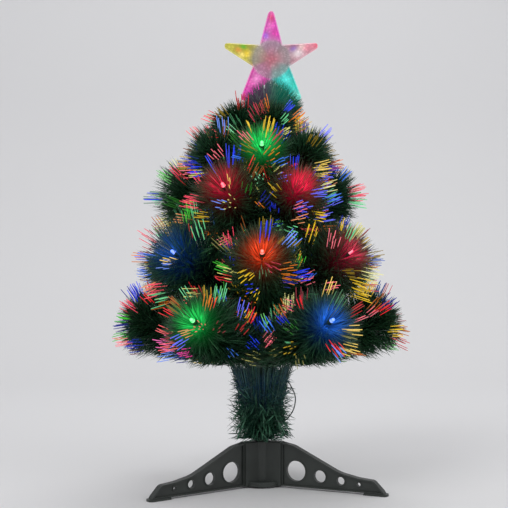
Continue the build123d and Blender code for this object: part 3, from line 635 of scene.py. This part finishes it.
def wire_stem(tier, where):
    """Two wires twisted together, looped round the hinge pin."""
    length = TIERS[tier][2]
    parts = []
    for start in (0.0, math.pi):
        s = np.linspace(4 * MM, length + 2 * MM, int(length / TWIST_STEP))
        turn = start + s / TWIST_PITCH * 2 * math.pi
        line = np.stack([TWIST_RADIUS * np.cos(turn), TWIST_RADIUS * np.sin(turn), s], 1)
        parts.append(tube(placed(line, where), WIRE_RADIUS))
    a = np.linspace(0, 2 * math.pi, EYE_STEPS, endpoint=False)
    for offset in (-EYE_HALF_WIDTH, EYE_HALF_WIDTH):
        ring = np.stack([np.full(EYE_STEPS, offset), EYE_RADIUS * np.sin(a), EYE_RADIUS * np.cos(a)], 1)
        parts.append(tube(placed(ring, where), EYE_WIRE_RADIUS, closed=True))
    for side in (-1, 1):
        neck = np.array([[side * EYE_HALF_WIDTH, 0, 2.2 * MM], [side * TWIST_RADIUS, 0, 4.5 * MM]])
        parts.append(tube(placed(neck, where), WIRE_RADIUS))
    return joined(parts)


seed = 100
for tier in range(len(TIERS)):
    for number in range(1, TIERS[tier][5] + 1):
        seed += 1
        rng = np.random.default_rng(seed)
        where = branch_frame(tier, branch_azimuth(tier, number))
        body = f"branch_{tier + 1}_{number}"
        name = f"tier{tier + 1}_{number}"
        node = f"tier{tier + 1}_branch_{number}"
        fuller = FULLER.get((tier, number), 1.0)
        roots, tips = brush(tier, fuller, (tier, number) in SEEN_LAMPS, rng)
        roots, tips = placed(roots, where), placed(tips, where)
        free = parted(along_strand(roots, tips))
        roots, tips = roots[free], tips[free]
        widths = rng.uniform(*NEEDLE_WIDTHS, len(roots))
        sag = rng.normal(0, 0.035, (len(roots), 3)) - 0.03 * UP
        mesh = needle_mesh(name + "_needles", roots, tips, widths, rng, sag)
        needles = piece(name + "_needles", mesh, body, NEEDLE, [node])
        formed(name + "_wire", wire_stem(tier, where), body, WIRE, [node])
        stalk, lit = fibre_meshes(name, fibre_strands(tier, fuller, where, rng), rng)
        stalks = piece(name + "_stalks", stalk, body, FIBRE, [node])
        ends = piece(name + "_lit_ends", lit, body, LIT, [node])
        for soft in (needles, stalks, ends):
            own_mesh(soft)


# Lamps
def turned(profile, where, sides=20):
    """Solid of revolution about the branch's line: profile is (radius, distance) from end to end."""
    verts = []
    for radius, s in profile:
        for k in range(sides):
            a = 2 * math.pi * k / sides
            verts.append((radius * math.cos(a), radius * math.sin(a), s))
    return placed(np.array(verts), where), ring_faces(len(profile), sides)


# Socket and lens as (radius, distance along the branch) in mm, with the socket's grip ribs in between
SOCKET_FOOT = [(2.1, 0.0), (3.0, 0.4), (3.3, 1.2)]
RIB = [(3.3, 0.0), (3.6, 0.2), (3.6, 0.7), (3.3, 0.9)]
RIB_STARTS = [1.4, 2.6, 3.8, 5.0]
SOCKET_MOUTH = [(3.4, 6.6), (3.1, 7.0), (2.4, 7.0)]
LENS_FOOT = [(2.3, 6.8), (2.9, 7.1), (2.9, 7.8), (2.5, 8.0), (2.5, 11.0)]
LENS_RADIUS, LENS_SHOULDER, LENS_STEPS = 2.5, 11.0, (18, 36, 54, 70, 82)
LAMP_WIRE_RADIUS = 0.0005


def lamp_wires(tier, base, where):
    """Two wires that run back from the socket to the stem."""
    wires = []
    for side in (-1, 1):
        line = [
            [side * 0.0016, 0.0, base + 0.0006],
            [side * 0.0022, 0.001, base - 0.004],
            [side * 0.0018, 0.0012, base - TIERS[tier][3] * 0.2],
            [side * 0.0012, 0.0004, TIERS[tier][2] - 0.006],
        ]
        wires.append(tube(placed(np.array(line), where), LAMP_WIRE_RADIUS))
    return joined(wires)


socket_shape = SOCKET_FOOT + [(r, low + s) for low in RIB_STARTS for r, s in RIB] + SOCKET_MOUTH
lens_shape = LENS_FOOT + [
    (LENS_RADIUS * math.cos(a), LENS_SHOULDER + LENS_RADIUS * math.sin(a)) for a in np.radians(LENS_STEPS)
]
for number, (tier, branch, colour) in LAMPS.items():
    where = branch_frame(tier, branch_azimuth(tier, branch))
    body = f"branch_{tier + 1}_{branch}"
    base = TIERS[tier][2] + TIERS[tier][3] * CORE_END_SHARE
    name = f"lamp_{number}"
    shapes = [[(r * MM, base + s * MM) for r, s in shape] for shape in (socket_shape, lens_shape)]
    formed(name + "_socket", turned(shapes[0], where), body, SOCKET)
    formed(name + "_lens", turned(shapes[1], where), body, LENSES[colour], [name])
    formed(name + "_wires", lamp_wires(tier, base, where), body, SOCKET)


# Trunk tinsel

# Wound needles, in two layers: how many, distance and heights of the roots, distances of the tips
WOUND_LAYERS = [
    (2600, 0.0104, (0.063, 0.150), (0.020, 0.034)),
    (900, 0.0200, (0.085, 0.150), (0.028, 0.040)),
]
WOUND_RISE, WOUND_CURL, WOUND_WIDTHS = 0.016, 0.0012, (0.0010, 0.0017)
# Loose needles: heights and distance of roots, distances of tips, and how far they stray
LOOSE_HEIGHTS, LOOSE_ROOT, LOOSE_REACHES = (0.067, 0.152), 0.012, (0.034, 0.0475)
LOOSE_ASIDE, LOOSE_RISE, LOOSE_BOW, LOOSE_WIDTHS = 0.009, 0.013, 0.006, (0.0010, 0.0018)
# Broad blades: the same, then rises of their tips, which hang or stand, and bows
BLADE_HEIGHTS, BLADE_ROOT, BLADE_REACHES = (0.076, 0.125), 0.020, (0.028, 0.042)
BLADE_RISES, BLADE_BOWS, BLADE_WIDTHS = (-0.024, -0.018, 0.020), (0.002, 0.006), (0.0018, 0.0028)
# Upright strands: heights of roots and of tips, distances of roots, then the flare of the tips
STRAND_LOW, STRAND_TOP, STRAND_ROOTS = (0.092, 0.132), (0.146, 0.180), (0.020, 0.026)
FLARE_START, FLARE_SLOPE, FLARE_SPREAD = 0.024, 0.72, (-0.004, 0.006)
STRAND_CURL, STRAND_BOW, STRAND_WIDTHS = 0.0018, 0.002, (0.0006, 0.0011)


def bent_strips(roots, tips, middles, widths, rng):
    """Closed curled strips, each drawn towards a middle point, with four rings and a tip."""
    count = len(roots)
    d = unit(tips - roots)
    u = unit(np.cross(d, unit(rng.normal(size=(count, 3)))))
    v = np.cross(d, u)
    rings = []
    for share in CURLED_SHARES:
        at = (1 - share) ** 2 * roots + 2 * share * (1 - share) * middles + share**2 * tips
        w = widths[:, None] * (0.5 - CURLED_TAPER * share)
        third = CURLED_THIRD * v
        rings.append(np.stack([at + w * u - third, at + 2 * third, at - w * u - third], 1))
    verts, faces = strips(rings, tips)
    return verts, faces, np.tile([*np.repeat(CURLED_SHARES, 3), 1.0], count)


def ring_of(azimuths):
    """Unit vectors at those azimuths."""
    return np.stack([np.sin(azimuths), -np.cos(azimuths), np.zeros(len(azimuths))], 1)


def round_pole(azimuths, reaches, heights):
    """Points at those azimuths, distances from the pole's axis and heights."""
    return ring_of(azimuths) * np.reshape(reaches, (-1, 1)) + heights[:, None] * UP


def wound_needles(count, root, heights, reaches, rng):
    """Short needles wound round the pole."""
    z = rng.uniform(*heights, count)
    a = np.arange(count) * GOLDEN_TURN + rng.normal(0, 0.2, count)
    tips = round_pole(a, rng.uniform(*reaches, count), z + rng.normal(0.10, 0.5, count) * WOUND_RISE)
    roots = round_pole(a, root, z)
    middles = (roots + tips) / 2 + rng.normal(0, WOUND_CURL, (count, 3))
    return roots, tips, middles, rng.uniform(*WOUND_WIDTHS, count)


def loose_needles(count, rng):
    """Long loose needles that curl outward, up or down."""
    z = rng.uniform(*LOOSE_HEIGHTS, count)
    a = rng.uniform(0, 2 * math.pi, count)
    aside = ring_of(a + math.pi / 2) * rng.normal(0, LOOSE_ASIDE, count)[:, None]
    roots = round_pole(a, LOOSE_ROOT, z)
    tips = round_pole(a, rng.uniform(*LOOSE_REACHES, count), z + rng.normal(0, LOOSE_RISE, count)) + aside
    bow = rng.normal(0, LOOSE_BOW, count)[:, None] * UP
    return roots, tips, (roots + tips) / 2 + bow - aside / 2, rng.uniform(*LOOSE_WIDTHS, count)


def broad_blades(count, rng):
    """Broad strips of film low on the trunk, some of them hanging over the stand's shoulder."""
    z = rng.uniform(*BLADE_HEIGHTS, count)
    a = rng.uniform(0, 2 * math.pi, count)
    roots = round_pole(a, BLADE_ROOT, z)
    beside, reach = a + rng.normal(0, 0.35, count), rng.uniform(*BLADE_REACHES, count)
    tips = round_pole(beside, reach, z + rng.choice(BLADE_RISES, count) * rng.uniform(0.6, 1.3, count))
    middles = (roots + tips) / 2 + ring_of(a) * rng.uniform(*BLADE_BOWS, count)[:, None]
    return roots, tips, middles, rng.uniform(*BLADE_WIDTHS, count)


def upright_strands(count, rng):
    """Fine strands from the light source up to the lowest tier, where they flare."""
    a = rng.uniform(0, 2 * math.pi, count)
    low, top = rng.uniform(*STRAND_LOW, count), rng.uniform(*STRAND_TOP, count)
    roots = round_pole(a, rng.uniform(*STRAND_ROOTS, count), low)
    flare = FLARE_START + (top - STRAND_TOP[0]) * FLARE_SLOPE + rng.uniform(*FLARE_SPREAD, count)
    tips = round_pole(a + rng.normal(0, 0.10, count), flare, top)
    middles = (roots + tips) / 2 + rng.normal(0, STRAND_CURL, (count, 3)) - ring_of(a) * STRAND_BOW
    return roots, tips, middles, rng.uniform(*STRAND_WIDTHS, count)


# Heights between which the trunk's tinsel stays, and its room at the back for the inlet
TRUNK_LOW, TRUNK_MIDDLE_LOW, TRUNK_TOP = 0.0635, 0.0640, 0.182
INLET_Y, INLET_HALF_WIDTH, INLET_TOP = 0.005, 0.019, 0.099
# The broad blades are paler. Glow of the light source: height, spread, level and colour
BROAD_OVER, BROAD_SHADE = BLADE_WIDTHS[0], 0.45
SOURCE_HEIGHT, SOURCE_SPREAD, SOURCE_LEVEL = 0.140, 0.022, 0.05
SOURCE_BLUE = np.array([0.05, 0.2, 1.0])


def trunk():
    """All the tinsel round the foot of the pole, with the power inlet's mouth left free at the back."""
    rng = np.random.default_rng(7)
    kinds = [wound_needles(*layer, rng) for layer in WOUND_LAYERS]
    kinds += [loose_needles(760, rng), broad_blades(190, rng), upright_strands(850, rng)]
    roots, tips, middles, widths = [np.concatenate(values) for values in zip(*kinds)]
    tips[:, 2] = np.clip(tips[:, 2], TRUNK_LOW, TRUNK_TOP)
    middles[:, 2] = np.clip(middles[:, 2], TRUNK_MIDDLE_LOW, None)
    ends = np.stack([roots, middles, tips])
    at_back = (ends[..., 1] > INLET_Y) & (ends[..., 2] < INLET_TOP)
    at_back &= np.abs(ends[..., 0]) < INLET_HALF_WIDTH
    keep = ~at_back.any(axis=0)
    roots, tips, middles, widths = roots[keep], tips[keep], middles[keep], widths[keep]
    verts, faces, share = bent_strips(roots, tips, middles, widths, rng)
    mesh = new_mesh("trunk_needles", verts, faces)
    broad = np.repeat(widths > BROAD_OVER, CURLED_VERTS) * BROAD_SHADE
    shade(mesh, rng, len(roots), share, CURLED_VERTS, broad)
    own = np.repeat(rng.random(len(roots)) ** 3, CURLED_VERTS)
    source_light = np.exp(-(((verts[:, 2] - SOURCE_HEIGHT) / SOURCE_SPREAD) ** 2)) * SOURCE_LEVEL * own
    paint(mesh, "glow", glow_at(verts) + source_light[:, None] * SOURCE_BLUE)
    return mesh


piece("trunk_needles", trunk(), "trunk", TRUNK_NEEDLE, ["trunk_tinsel"])

# Tuft under the star
STAR_X = 0.013
# Leader's bend, then the fan: heights of its tips and their fall to the sides, their places, and its roots
BEND_START, BEND_RISE = 0.474, 0.025
FAN_LOW, FAN_TOP, FAN_FALL, FAN_HALF_WIDTH = 0.496, 0.551, 0.030, 0.042
FAN_ACROSS, FAN_DEPTHS = (-0.040, 0.045), (0.0105, 0.0210)
FAN_ROOTS, FAN_ROOT_DEPTH, ROOT_FALL, ROOT_FALL_WIDTH = (0.482, 0.508), 0.0026, 0.004, 0.04
# The skirt: heights and distance of its roots, distances of its tips from them, and its top
SKIRT_ROOTS, SKIRT_ROOT_REACH = (0.466, 0.504), 0.0028
SKIRT_REACHES, SKIRT_RISES, SKIRT_TOP = (0.022, 0.040), (0.004, 0.022), 0.518
# Where the star's light starts, how much higher it is full, and the width over which it changes hue
TINT_LOW, TINT_RISE, TINT_SIDE = 0.500, 0.04, 0.02
PLUM = np.array([0.070, 0.028, 0.075])
TEAL = np.array([0.004, 0.110, 0.080])


def leader_line(heights):
    """Points on the leader's axis, which bends over from the pole to below the star."""
    share = np.clip((heights - BEND_START) / BEND_RISE, 0, 1)
    return np.stack([STAR_X * share, np.zeros(len(heights)), heights], 1)


def tuft_fan(count, rng):
    """Long needles that stand up before and behind the star's lower arms."""
    side = rng.choice([-1.0, 1.0], count)
    across = rng.uniform(*FAN_ACROSS, count)
    dome = FAN_TOP - FAN_FALL * (across / FAN_HALF_WIDTH) ** 2
    z = FAN_LOW + (dome - FAN_LOW) * rng.random(count) ** 0.42
    tips = np.stack([STAR_X + across, side * rng.uniform(*FAN_DEPTHS, count), z], 1)
    roots = leader_line(rng.uniform(*FAN_ROOTS, count) - ROOT_FALL * np.abs(across) / ROOT_FALL_WIDTH)
    return roots + np.stack([across * 0.06, side * FAN_ROOT_DEPTH, np.zeros(count)], 1), tips


def tuft_skirt(count, rng):
    """Needles that stand out all round the leader."""
    roots = leader_line(rng.uniform(*SKIRT_ROOTS, count))
    out = ring_of(np.arange(count) * GOLDEN_TURN)
    tips = roots + out * rng.uniform(*SKIRT_REACHES, count)[:, None]
    tips = tips + rng.uniform(*SKIRT_RISES, count)[:, None] * UP
    tips[:, 2] = np.minimum(tips[:, 2], SKIRT_TOP)
    return roots + out * SKIRT_ROOT_REACH, tips


def star_light(points):
    """Colour of the star's light on the needles under it."""
    near = np.clip((points[:, 2] - TINT_LOW) / TINT_RISE, 0, 1)[:, None]
    right = np.clip((points[:, 0] - STAR_X) / TINT_SIDE + 0.5, 0, 1)[:, None]
    return near * ((1 - right) * PLUM + right * TEAL)


def tuft():
    """The needles on the leader."""
    rng = np.random.default_rng(11)
    kinds = tuft_fan(1600, rng), tuft_skirt(700, rng)
    roots, tips = [np.concatenate(points) for points in zip(*kinds)]
    sag = rng.normal(0, 0.04, (len(roots), 3)) + 0.03 * UP
    widths = rng.uniform(0.0012, 0.0020, len(roots))
    return needle_mesh("tuft_needles", roots, tips, widths, rng, sag, star_light)


piece("tuft_needles", tuft(), "trunk", NEEDLE, ["leader_tinsel"])


# Star
STAR_Z = 0.574
STAR_R, NOTCH_R, STAR_DEPTH = 0.079, 0.026, 0.009
STAR_WALL = 0.0015
SLEEVE_R = 0.0078
TIP_ROUND = 0.0044
FIFTH = math.pi / 5
ARM_LINE = math.pi / 2
SIDE_STEPS, TIP_STEPS = 26, 8
# The face: rim, step inside it, roof over the arms, disc with its ribs, boss and ring, sleeve and lip
RIM_WIDTH, RIM_HEIGHT = 0.0017, 0.0056
STEP_AT, STEP_WIDTH, STEP_DROP = 0.0024, 0.0006, 0.0009
ROOF_AT, ROOF_WIDTH, ROOF_RISE = 0.003, 0.012, 0.0036
FACE_DISC_R, FACE_DISC_HEIGHT = 0.0212, 0.0070
RIB_COUNT, RIB_HEIGHT = 60, 0.00028
BOSS_R, BOSS_RISE = 0.004, 0.0006
RING_WIDTH, RING_RISE = 0.0006, 0.0007
SLEEVE_FROM, SLEEVE_BLEND = 0.0145, 0.002
LIP_DEPTH = 0.0006
edge_normal = np.array([NOTCH_R * math.sin(FIFTH), STAR_R - NOTCH_R * math.cos(FIFTH)])
edge_normal = edge_normal / np.linalg.norm(edge_normal)
EDGE_OFFSET = edge_normal[0] * STAR_R


def star_outline_points():
    """Outline with rounded outer points, evenly spaced along each side."""
    tip_half = math.atan2(NOTCH_R * math.sin(FIFTH), STAR_R - NOTCH_R * math.cos(FIFTH))
    centre = STAR_R - TIP_ROUND / math.sin(tip_half)
    notch = np.array([NOTCH_R * math.cos(FIFTH), NOTCH_R * math.sin(FIFTH)])
    touch = np.array([centre + TIP_ROUND * edge_normal[0], TIP_ROUND * edge_normal[1]])
    mirror = np.array([1, -1])
    arm = [(notch * (1 - share) + touch * share) * mirror for share in np.arange(SIDE_STEPS) / SIDE_STEPS]
    first = math.atan2(edge_normal[1], edge_normal[0])
    for turn in np.linspace(-first, first, TIP_STEPS + 1):
        arm.append(np.array([centre + TIP_ROUND * math.cos(turn), TIP_ROUND * math.sin(turn)]))
    arm += [touch * (1 - share) + notch * share for share in np.arange(1, SIDE_STEPS) / SIDE_STEPS]
    points = []
    for axis in ARM_LINE + 2 * FIFTH * np.arange(5):
        c, s = math.cos(axis), math.sin(axis)
        points += [(c * x - s * y, s * x + c * y) for x, y in arm]
    return np.array(points)


def star_polar(xy):
    """Distance from the middle, angle from the top arm's line, and distance inside the outline."""
    rho = np.hypot(xy[:, 0], xy[:, 1])
    theta = np.arctan2(xy[:, 1], xy[:, 0]) - ARM_LINE
    folded = np.abs((theta + FIFTH) % (2 * FIFTH) - FIFTH)
    edge = EDGE_OFFSET - np.stack([rho * np.cos(folded), rho * np.sin(folded)], 1) @ edge_normal
    return rho, theta, edge


def star_height(xy):
    """Height of the shell's face over its parting plane: steep rim, roofed arms, ribbed disc, sleeve."""
    rho, theta, edge = star_polar(xy)
    edge = np.clip(edge, 0, None)
    rim = np.clip(edge / RIM_WIDTH, 0, 1) * RIM_HEIGHT
    rim -= np.clip((edge - STEP_AT) / STEP_WIDTH, 0, 1) * STEP_DROP
    roof = np.clip((edge - ROOF_AT) / ROOF_WIDTH, 0, 1) * ROOF_RISE
    height = rim + roof
    ribs = RIB_HEIGHT * np.cos(theta * RIB_COUNT) * np.clip((rho - 0.006) / 0.008, 0, 1)
    disc = FACE_DISC_HEIGHT + ribs + BOSS_RISE * np.clip((BOSS_R - rho) / MM, 0, 1)
    ring = np.exp(-(((rho - FACE_DISC_R) / RING_WIDTH) ** 2)) * RING_RISE
    inside = np.clip((FACE_DISC_R - rho) / 0.0008, 0, 1)
    height = height * (1 - inside) + disc * inside + ring
    sleeve = np.sqrt(np.clip(SLEEVE_R**2 - xy[:, 0] ** 2, 0, None))
    sleeve = sleeve * np.clip((-xy[:, 1] - SLEEVE_FROM) / SLEEVE_BLEND, 0, 1)
    return np.clip(np.maximum(height, sleeve), 0, STAR_DEPTH)


# Arms from the top one anticlockwise: ground colour, then patches as (out, across, size, colour), sizes in mm
ARMS = [
    ((0.62, 0.05, 0.42), [
        (45, 1, 8, (0.98, 0.16, 0.66)), (57, 0, 6, (0.72, 0.05, 0.20)), (32, 7, 5, (0.38, 0.12, 0.72)),
        (36, -5, 5, (0.80, 0.05, 0.45)), (66, 0, 4, (0.92, 0.22, 0.52)),
    ]),
    ((0.46, 0.42, 0.05), [
        (33, 2, 6, (1.0, 0.72, 0.02)), (46, 1, 4, (0.92, 0.34, 0.05)), (41, -5, 4, (0.12, 0.58, 0.03)),
        (40, 6, 4, (1.0, 0.80, 0.20)), (60, 0, 8, (0.66, 0.62, 0.08)),
    ]),
    ((0.62, 0.04, 0.36), [
        (34, 0, 8, (1.0, 0.30, 0.72)), (42, -4, 5, (0.95, 0.10, 0.55)), (52, 2, 6, (0.85, 0.06, 0.50)),
        (64, 0, 5, (0.80, 0.04, 0.28)),
    ]),
    ((0.02, 0.52, 0.47), [
        (35, 0, 9, (0.10, 0.95, 0.88)), (45, 4, 6, (0.02, 0.70, 0.56)), (60, 0, 7, (0.22, 0.85, 0.72)),
    ]),
    ((0.52, 0.24, 0.30), [
        (33, 4, 5, (0.36, 0.16, 0.66)), (37, -3, 7, (1.0, 0.86, 0.90)), (45, 3, 5, (0.98, 0.72, 0.68)),
        (52, 0, 6, (0.92, 0.32, 0.42)), (66, 0, 7, (0.88, 0.16, 0.24)),
    ]),
]
# Frosted disc, the dusk round it in the upper half, and the glowing rim
DISC_R = 0.0262
DUSK_R, DUSK_BLEND, DUSK_LEVEL = 0.034, 0.008, 0.75
RIM_GLOW_WIDTH = 0.0024
DISC_GREY = np.array([0.20, 0.19, 0.20])
DISC_CENTRE = np.array([0.50, 0.15, 0.20])


def star_hues(xy):
    """Colour of each point: patches of light in the arms, a dusky ribbed disc, and a paler rim."""
    rho, theta, edge = star_polar(xy)
    hue, weight = np.zeros((len(xy), 3)), np.zeros((len(xy), 1))
    for arm, (ground, patches) in enumerate(ARMS):
        off = (theta - arm * 2 * FIFTH + math.pi) % (2 * math.pi) - math.pi
        out, across = rho * np.cos(off) / MM, rho * np.sin(off) / MM
        colour = np.tile(np.array(ground), (len(xy), 1))
        for at, beside, size, patch in patches:
            far = ((out - at) / size) ** 2 + ((across - beside) / (size * 0.8)) ** 2
            share = np.exp(-far)[:, None]
            colour = colour * (1 - share) + np.array(patch) * share
        near = np.exp(-((off / 0.62) ** 4))[:, None] + 1e-6
        hue += colour * near
        weight += near
    hue /= weight
    upper = np.clip((xy[:, 1] + 0.006) / 0.006, 0, 1)
    dusk = np.clip((DUSK_R - rho) / DUSK_BLEND, 0, 1) * upper * DUSK_LEVEL
    hue = hue * (1 - dusk[:, None]) + (hue * 0.5 + DISC_GREY) * dusk[:, None]
    middle = np.exp(-((rho / 0.013) ** 2))[:, None]
    frosted = (hue * 0.34 + DISC_GREY) * (1 - middle) + DISC_CENTRE * middle
    ribs = np.cos(theta * RIB_COUNT) * np.clip((rho - 0.005) / 0.006, 0, 1)
    frosted *= 1 + 0.10 * ribs[:, None]
    inside = np.clip((DISC_R - rho) / 0.0012, 0, 1)[:, None]
    hue = hue * (1 - inside) + frosted * inside
    rim = np.clip(1 - edge / RIM_GLOW_WIDTH, 0, 1)[:, None] * 0.8
    return hue * (1 - rim) + np.clip(hue * 1.35 + 0.05, 0, 1) * rim


# Rings of the face and of the hollow behind it, as shares of the outline
FACE_RINGS = [n / 100 for n in range(6, 85, 6)] + [0.88, 0.905, 0.93, 0.95, 0.965, 0.98, 0.99, 1.0]
HOLLOW_RINGS = [0.955, 0.955, 0.90, 0.78, 0.60, 0.36]


def star_shell(name, facing):
    """One half of the clear star, hollow, with its relief on the outside."""
    outline = star_outline_points()
    count = len(outline)
    xy = np.concatenate([np.zeros((1, 2))] + [outline * r for r in FACE_RINGS])
    depth = star_height(xy)
    depth[-count:] = LIP_DEPTH
    hollow_xy = np.concatenate([outline * r for r in HOLLOW_RINGS] + [np.zeros((1, 2))])
    hollow_depth = np.clip(star_height(hollow_xy) - STAR_WALL, 0, None)
    hollow_depth[:count] = 0
    flat_xy = np.concatenate([xy, outline, hollow_xy])
    deep = np.concatenate([depth, np.zeros(count), hollow_depth])
    verts = np.stack([facing * flat_xy[:, 0] + STAR_X, -facing * deep, flat_xy[:, 1] + STAR_Z], 1)
    faces = [(0, 1 + k, 1 + (k + 1) % count) for k in range(count)]
    starts = [1 + i * count for i in range(len(FACE_RINGS) + 1 + len(HOLLOW_RINGS))]
    for a, b in zip(starts, starts[1:]):
        for k in range(count):
            m = (k + 1) % count
            faces.append((a + k, b + k, b + m, a + m))
    faces += [(starts[-1] + k, len(verts) - 1, starts[-1] + (k + 1) % count) for k in range(count)]
    mesh = new_mesh(name, verts, faces)
    paint(mesh, "hue", star_hues(flat_xy * np.array([facing, 1])))
    return mesh


def multiplied(nodes, links, colour, factor, share):
    """A colour multiplied by another, by that share."""
    node = nodes.new("ShaderNodeMix")
    node.data_type = "RGBA"
    node.blend_type = "MULTIPLY"
    node.inputs[0].default_value = share
    links.new(colour, node.inputs[6])
    links.new(factor, node.inputs[7])
    return node.outputs[2]


def star_material():
    """Clear acrylic lit from inside: cut facets, a frosted middle and bright sparkles."""
    mat, nodes, links, bsdf = material("star_acrylic")
    tint = painted(nodes, "hue")
    place = nodes.new("ShaderNodeTexCoord").outputs["Object"]
    cells = nodes.new("ShaderNodeTexVoronoi")
    cells.inputs["Scale"].default_value = 260.0
    links.new(place, cells.inputs["Vector"])
    cloud = noise(nodes, links, 90.0, 3.0, place)
    stops = [(0.0, (1.35, 1.35, 1.35)), (0.55, (0.72, 0.72, 0.72))]
    sparkle = ramp(nodes, links, cells.outputs["Distance"], stops)
    soft = ramp(nodes, links, cloud.outputs["Fac"], [(0.3, (0.75, 0.75, 0.75)), (0.7, (1.15, 1.15, 1.15))])
    sparkling = multiplied(nodes, links, tint.outputs["Color"], sparkle.outputs["Color"], 0.6)
    lit = multiplied(nodes, links, sparkling, soft.outputs["Color"], 0.8)
    links.new(lit, bsdf.inputs["Emission Color"])
    deep = nodes.new("ShaderNodeMix")
    deep.data_type = "RGBA"
    deep.inputs[0].default_value = 0.8
    deep.inputs[7].default_value = (0.02, 0.02, 0.02, 1.0)
    links.new(lit, deep.inputs[6])
    links.new(deep.outputs[2], bsdf.inputs["Base Color"])
    settle(bsdf, {"Emission Strength": 0.85, "Roughness": 0.14, "Transmission Weight": 0.1, "IOR": 1.49})
    settle(bsdf, {"Specular IOR Level": 0.3, "Coat Weight": 0.12, "Coat Roughness": 0.05})
    bump(nodes, links, bsdf, cells, 0.25, 0.0004)
    return mat


STAR = star_material()
piece("star_front", star_shell("star_front", 1), "star", STAR, ["star_front_shell"])
piece("star_back", star_shell("star_back", -1), "star", STAR, ["star_back_shell"])


# CAD pieces that stay
def led_material(name, colour):
    """Small lens that glows in its own colour."""
    mat, nodes, links, bsdf = material(name)
    cloud = noise(nodes, links, 400.0, 2.0)
    tone = toned(nodes, links, bsdf, cloud, [(0.3, tuple(c * 0.7 for c in colour)), (0.7, colour)])
    links.new(tone.outputs["Color"], bsdf.inputs["Emission Color"])
    settle(bsdf, {"Emission Strength": 1.5, "Roughness": 0.15})
    return mat


def dress(node, mat, bevel=0.0):
    """New material for a CAD node, and softened edges where the moulding has them."""
    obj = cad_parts[node]
    obj.data.materials.clear()
    obj.data.materials.append(mat)
    if bevel:
        edge = obj.modifiers.new("moulded_edges", "BEVEL")
        edge.width = bevel
        edge.segments = 2
        edge.limit_method = "ANGLE"
        edge.angle_limit = math.radians(35)
        edge.harden_normals = True
        obj.data.polygons.foreach_set("use_smooth", [True] * len(obj.data.polygons))


for node in ("stand_hub", "leg_left", "leg_right", "leg_back"):
    dress(node, STAND, 0.0005)
for node in ("pole", "branch_collars", "top_collar"):
    dress(node, POLE, 0.0003)
for node in ("source_housing", "power_inlet"):
    dress(node, BLACK, 0.0003)
dress("leader", WIRE)
dress("hinge_pins", STEEL)
dress("fibre_harness", FIBRE)
dress("lamp_lead", LEAD)
dress("star_light_board", BOARD)
dress("star_socket", CLEAR_SOCKET)
dress("source_leds", led_material("source_lens", (0.08, 0.25, 1.0)))
dress("star_leds", led_material("star_lens", (1.0, 0.55, 0.88)))


# Studio: pale sweep, soft light, camera
SWEEP_REACH, SWEEP_BACK, SWEEP_BEND, SWEEP_TOP, SWEEP_STEPS = 12.0, 1.2, 0.8, 4.0, 12


def backdrop():
    """Floor that curves up behind."""
    profile = [(-SWEEP_REACH, 0.0), (SWEEP_BACK, 0.0)]
    for a in math.pi / 2 * np.arange(1, SWEEP_STEPS + 1) / SWEEP_STEPS:
        profile.append((SWEEP_BACK + SWEEP_BEND * math.sin(a), SWEEP_BEND - SWEEP_BEND * math.cos(a)))
    profile.append((SWEEP_BACK + SWEEP_BEND, SWEEP_TOP))
    verts = [(x, y, z) for y, z in profile for x in (-SWEEP_REACH, SWEEP_REACH)]
    faces = [(2 * i, 2 * i + 1, 2 * i + 3, 2 * i + 2) for i in range(len(profile) - 1)]
    mesh = new_mesh("sweep", verts, faces, True)
    mat, _, _, bsdf = material("pale_paper")
    settle(bsdf, {"Base Color": (0.78, 0.78, 0.79, 1.0), "Roughness": 0.9, "Specular IOR Level": 0.1})
    obj = bpy.data.objects.new("sweep", mesh)
    obj.data.materials.append(mat)
    bpy.context.scene.collection.objects.link(obj)


def softbox(name, place, target, size, power):
    """Rectangular lamp that faces a point."""
    lamp = bpy.data.lights.new(name, "AREA")
    lamp.shape = "RECTANGLE"
    lamp.size, lamp.size_y = size
    lamp.energy = power
    obj = bpy.data.objects.new(name, lamp)
    bpy.context.scene.collection.objects.link(obj)
    obj.location = place
    obj.rotation_euler = (Vector(target) - Vector(place)).to_track_quat("-Z", "Y").to_euler()


backdrop()
softbox("key", (-1.6, -2.2, 2.4), (0, 0, 0.25), (1.6, 1.6), 34.0)
softbox("fill", (2.2, -1.6, 1.3), (0, 0, 0.3), (1.8, 1.8), 14.0)
softbox("back", (0.4, 1.0, 2.2), (0, 0, 0.3), (1.4, 0.8), 12.0)

scene = bpy.context.scene
world = bpy.data.worlds.new("studio")
scene.world = world
world.use_nodes = True
settle(world.node_tree.nodes["Background"], {"Color": (0.52, 0.52, 0.53, 1.0), "Strength": 1.0})

camera_data = bpy.data.cameras.new("camera")
camera_data.sensor_width = 36.0
camera_data.lens = 81.0
camera = bpy.data.objects.new("camera", camera_data)
scene.collection.objects.link(camera)
camera.location = (-0.0101, -1.5445, 0.3123)
camera.rotation_euler = (math.radians(90), 0, 0)
scene.camera = camera
scene.view_settings.view_transform = "Standard"
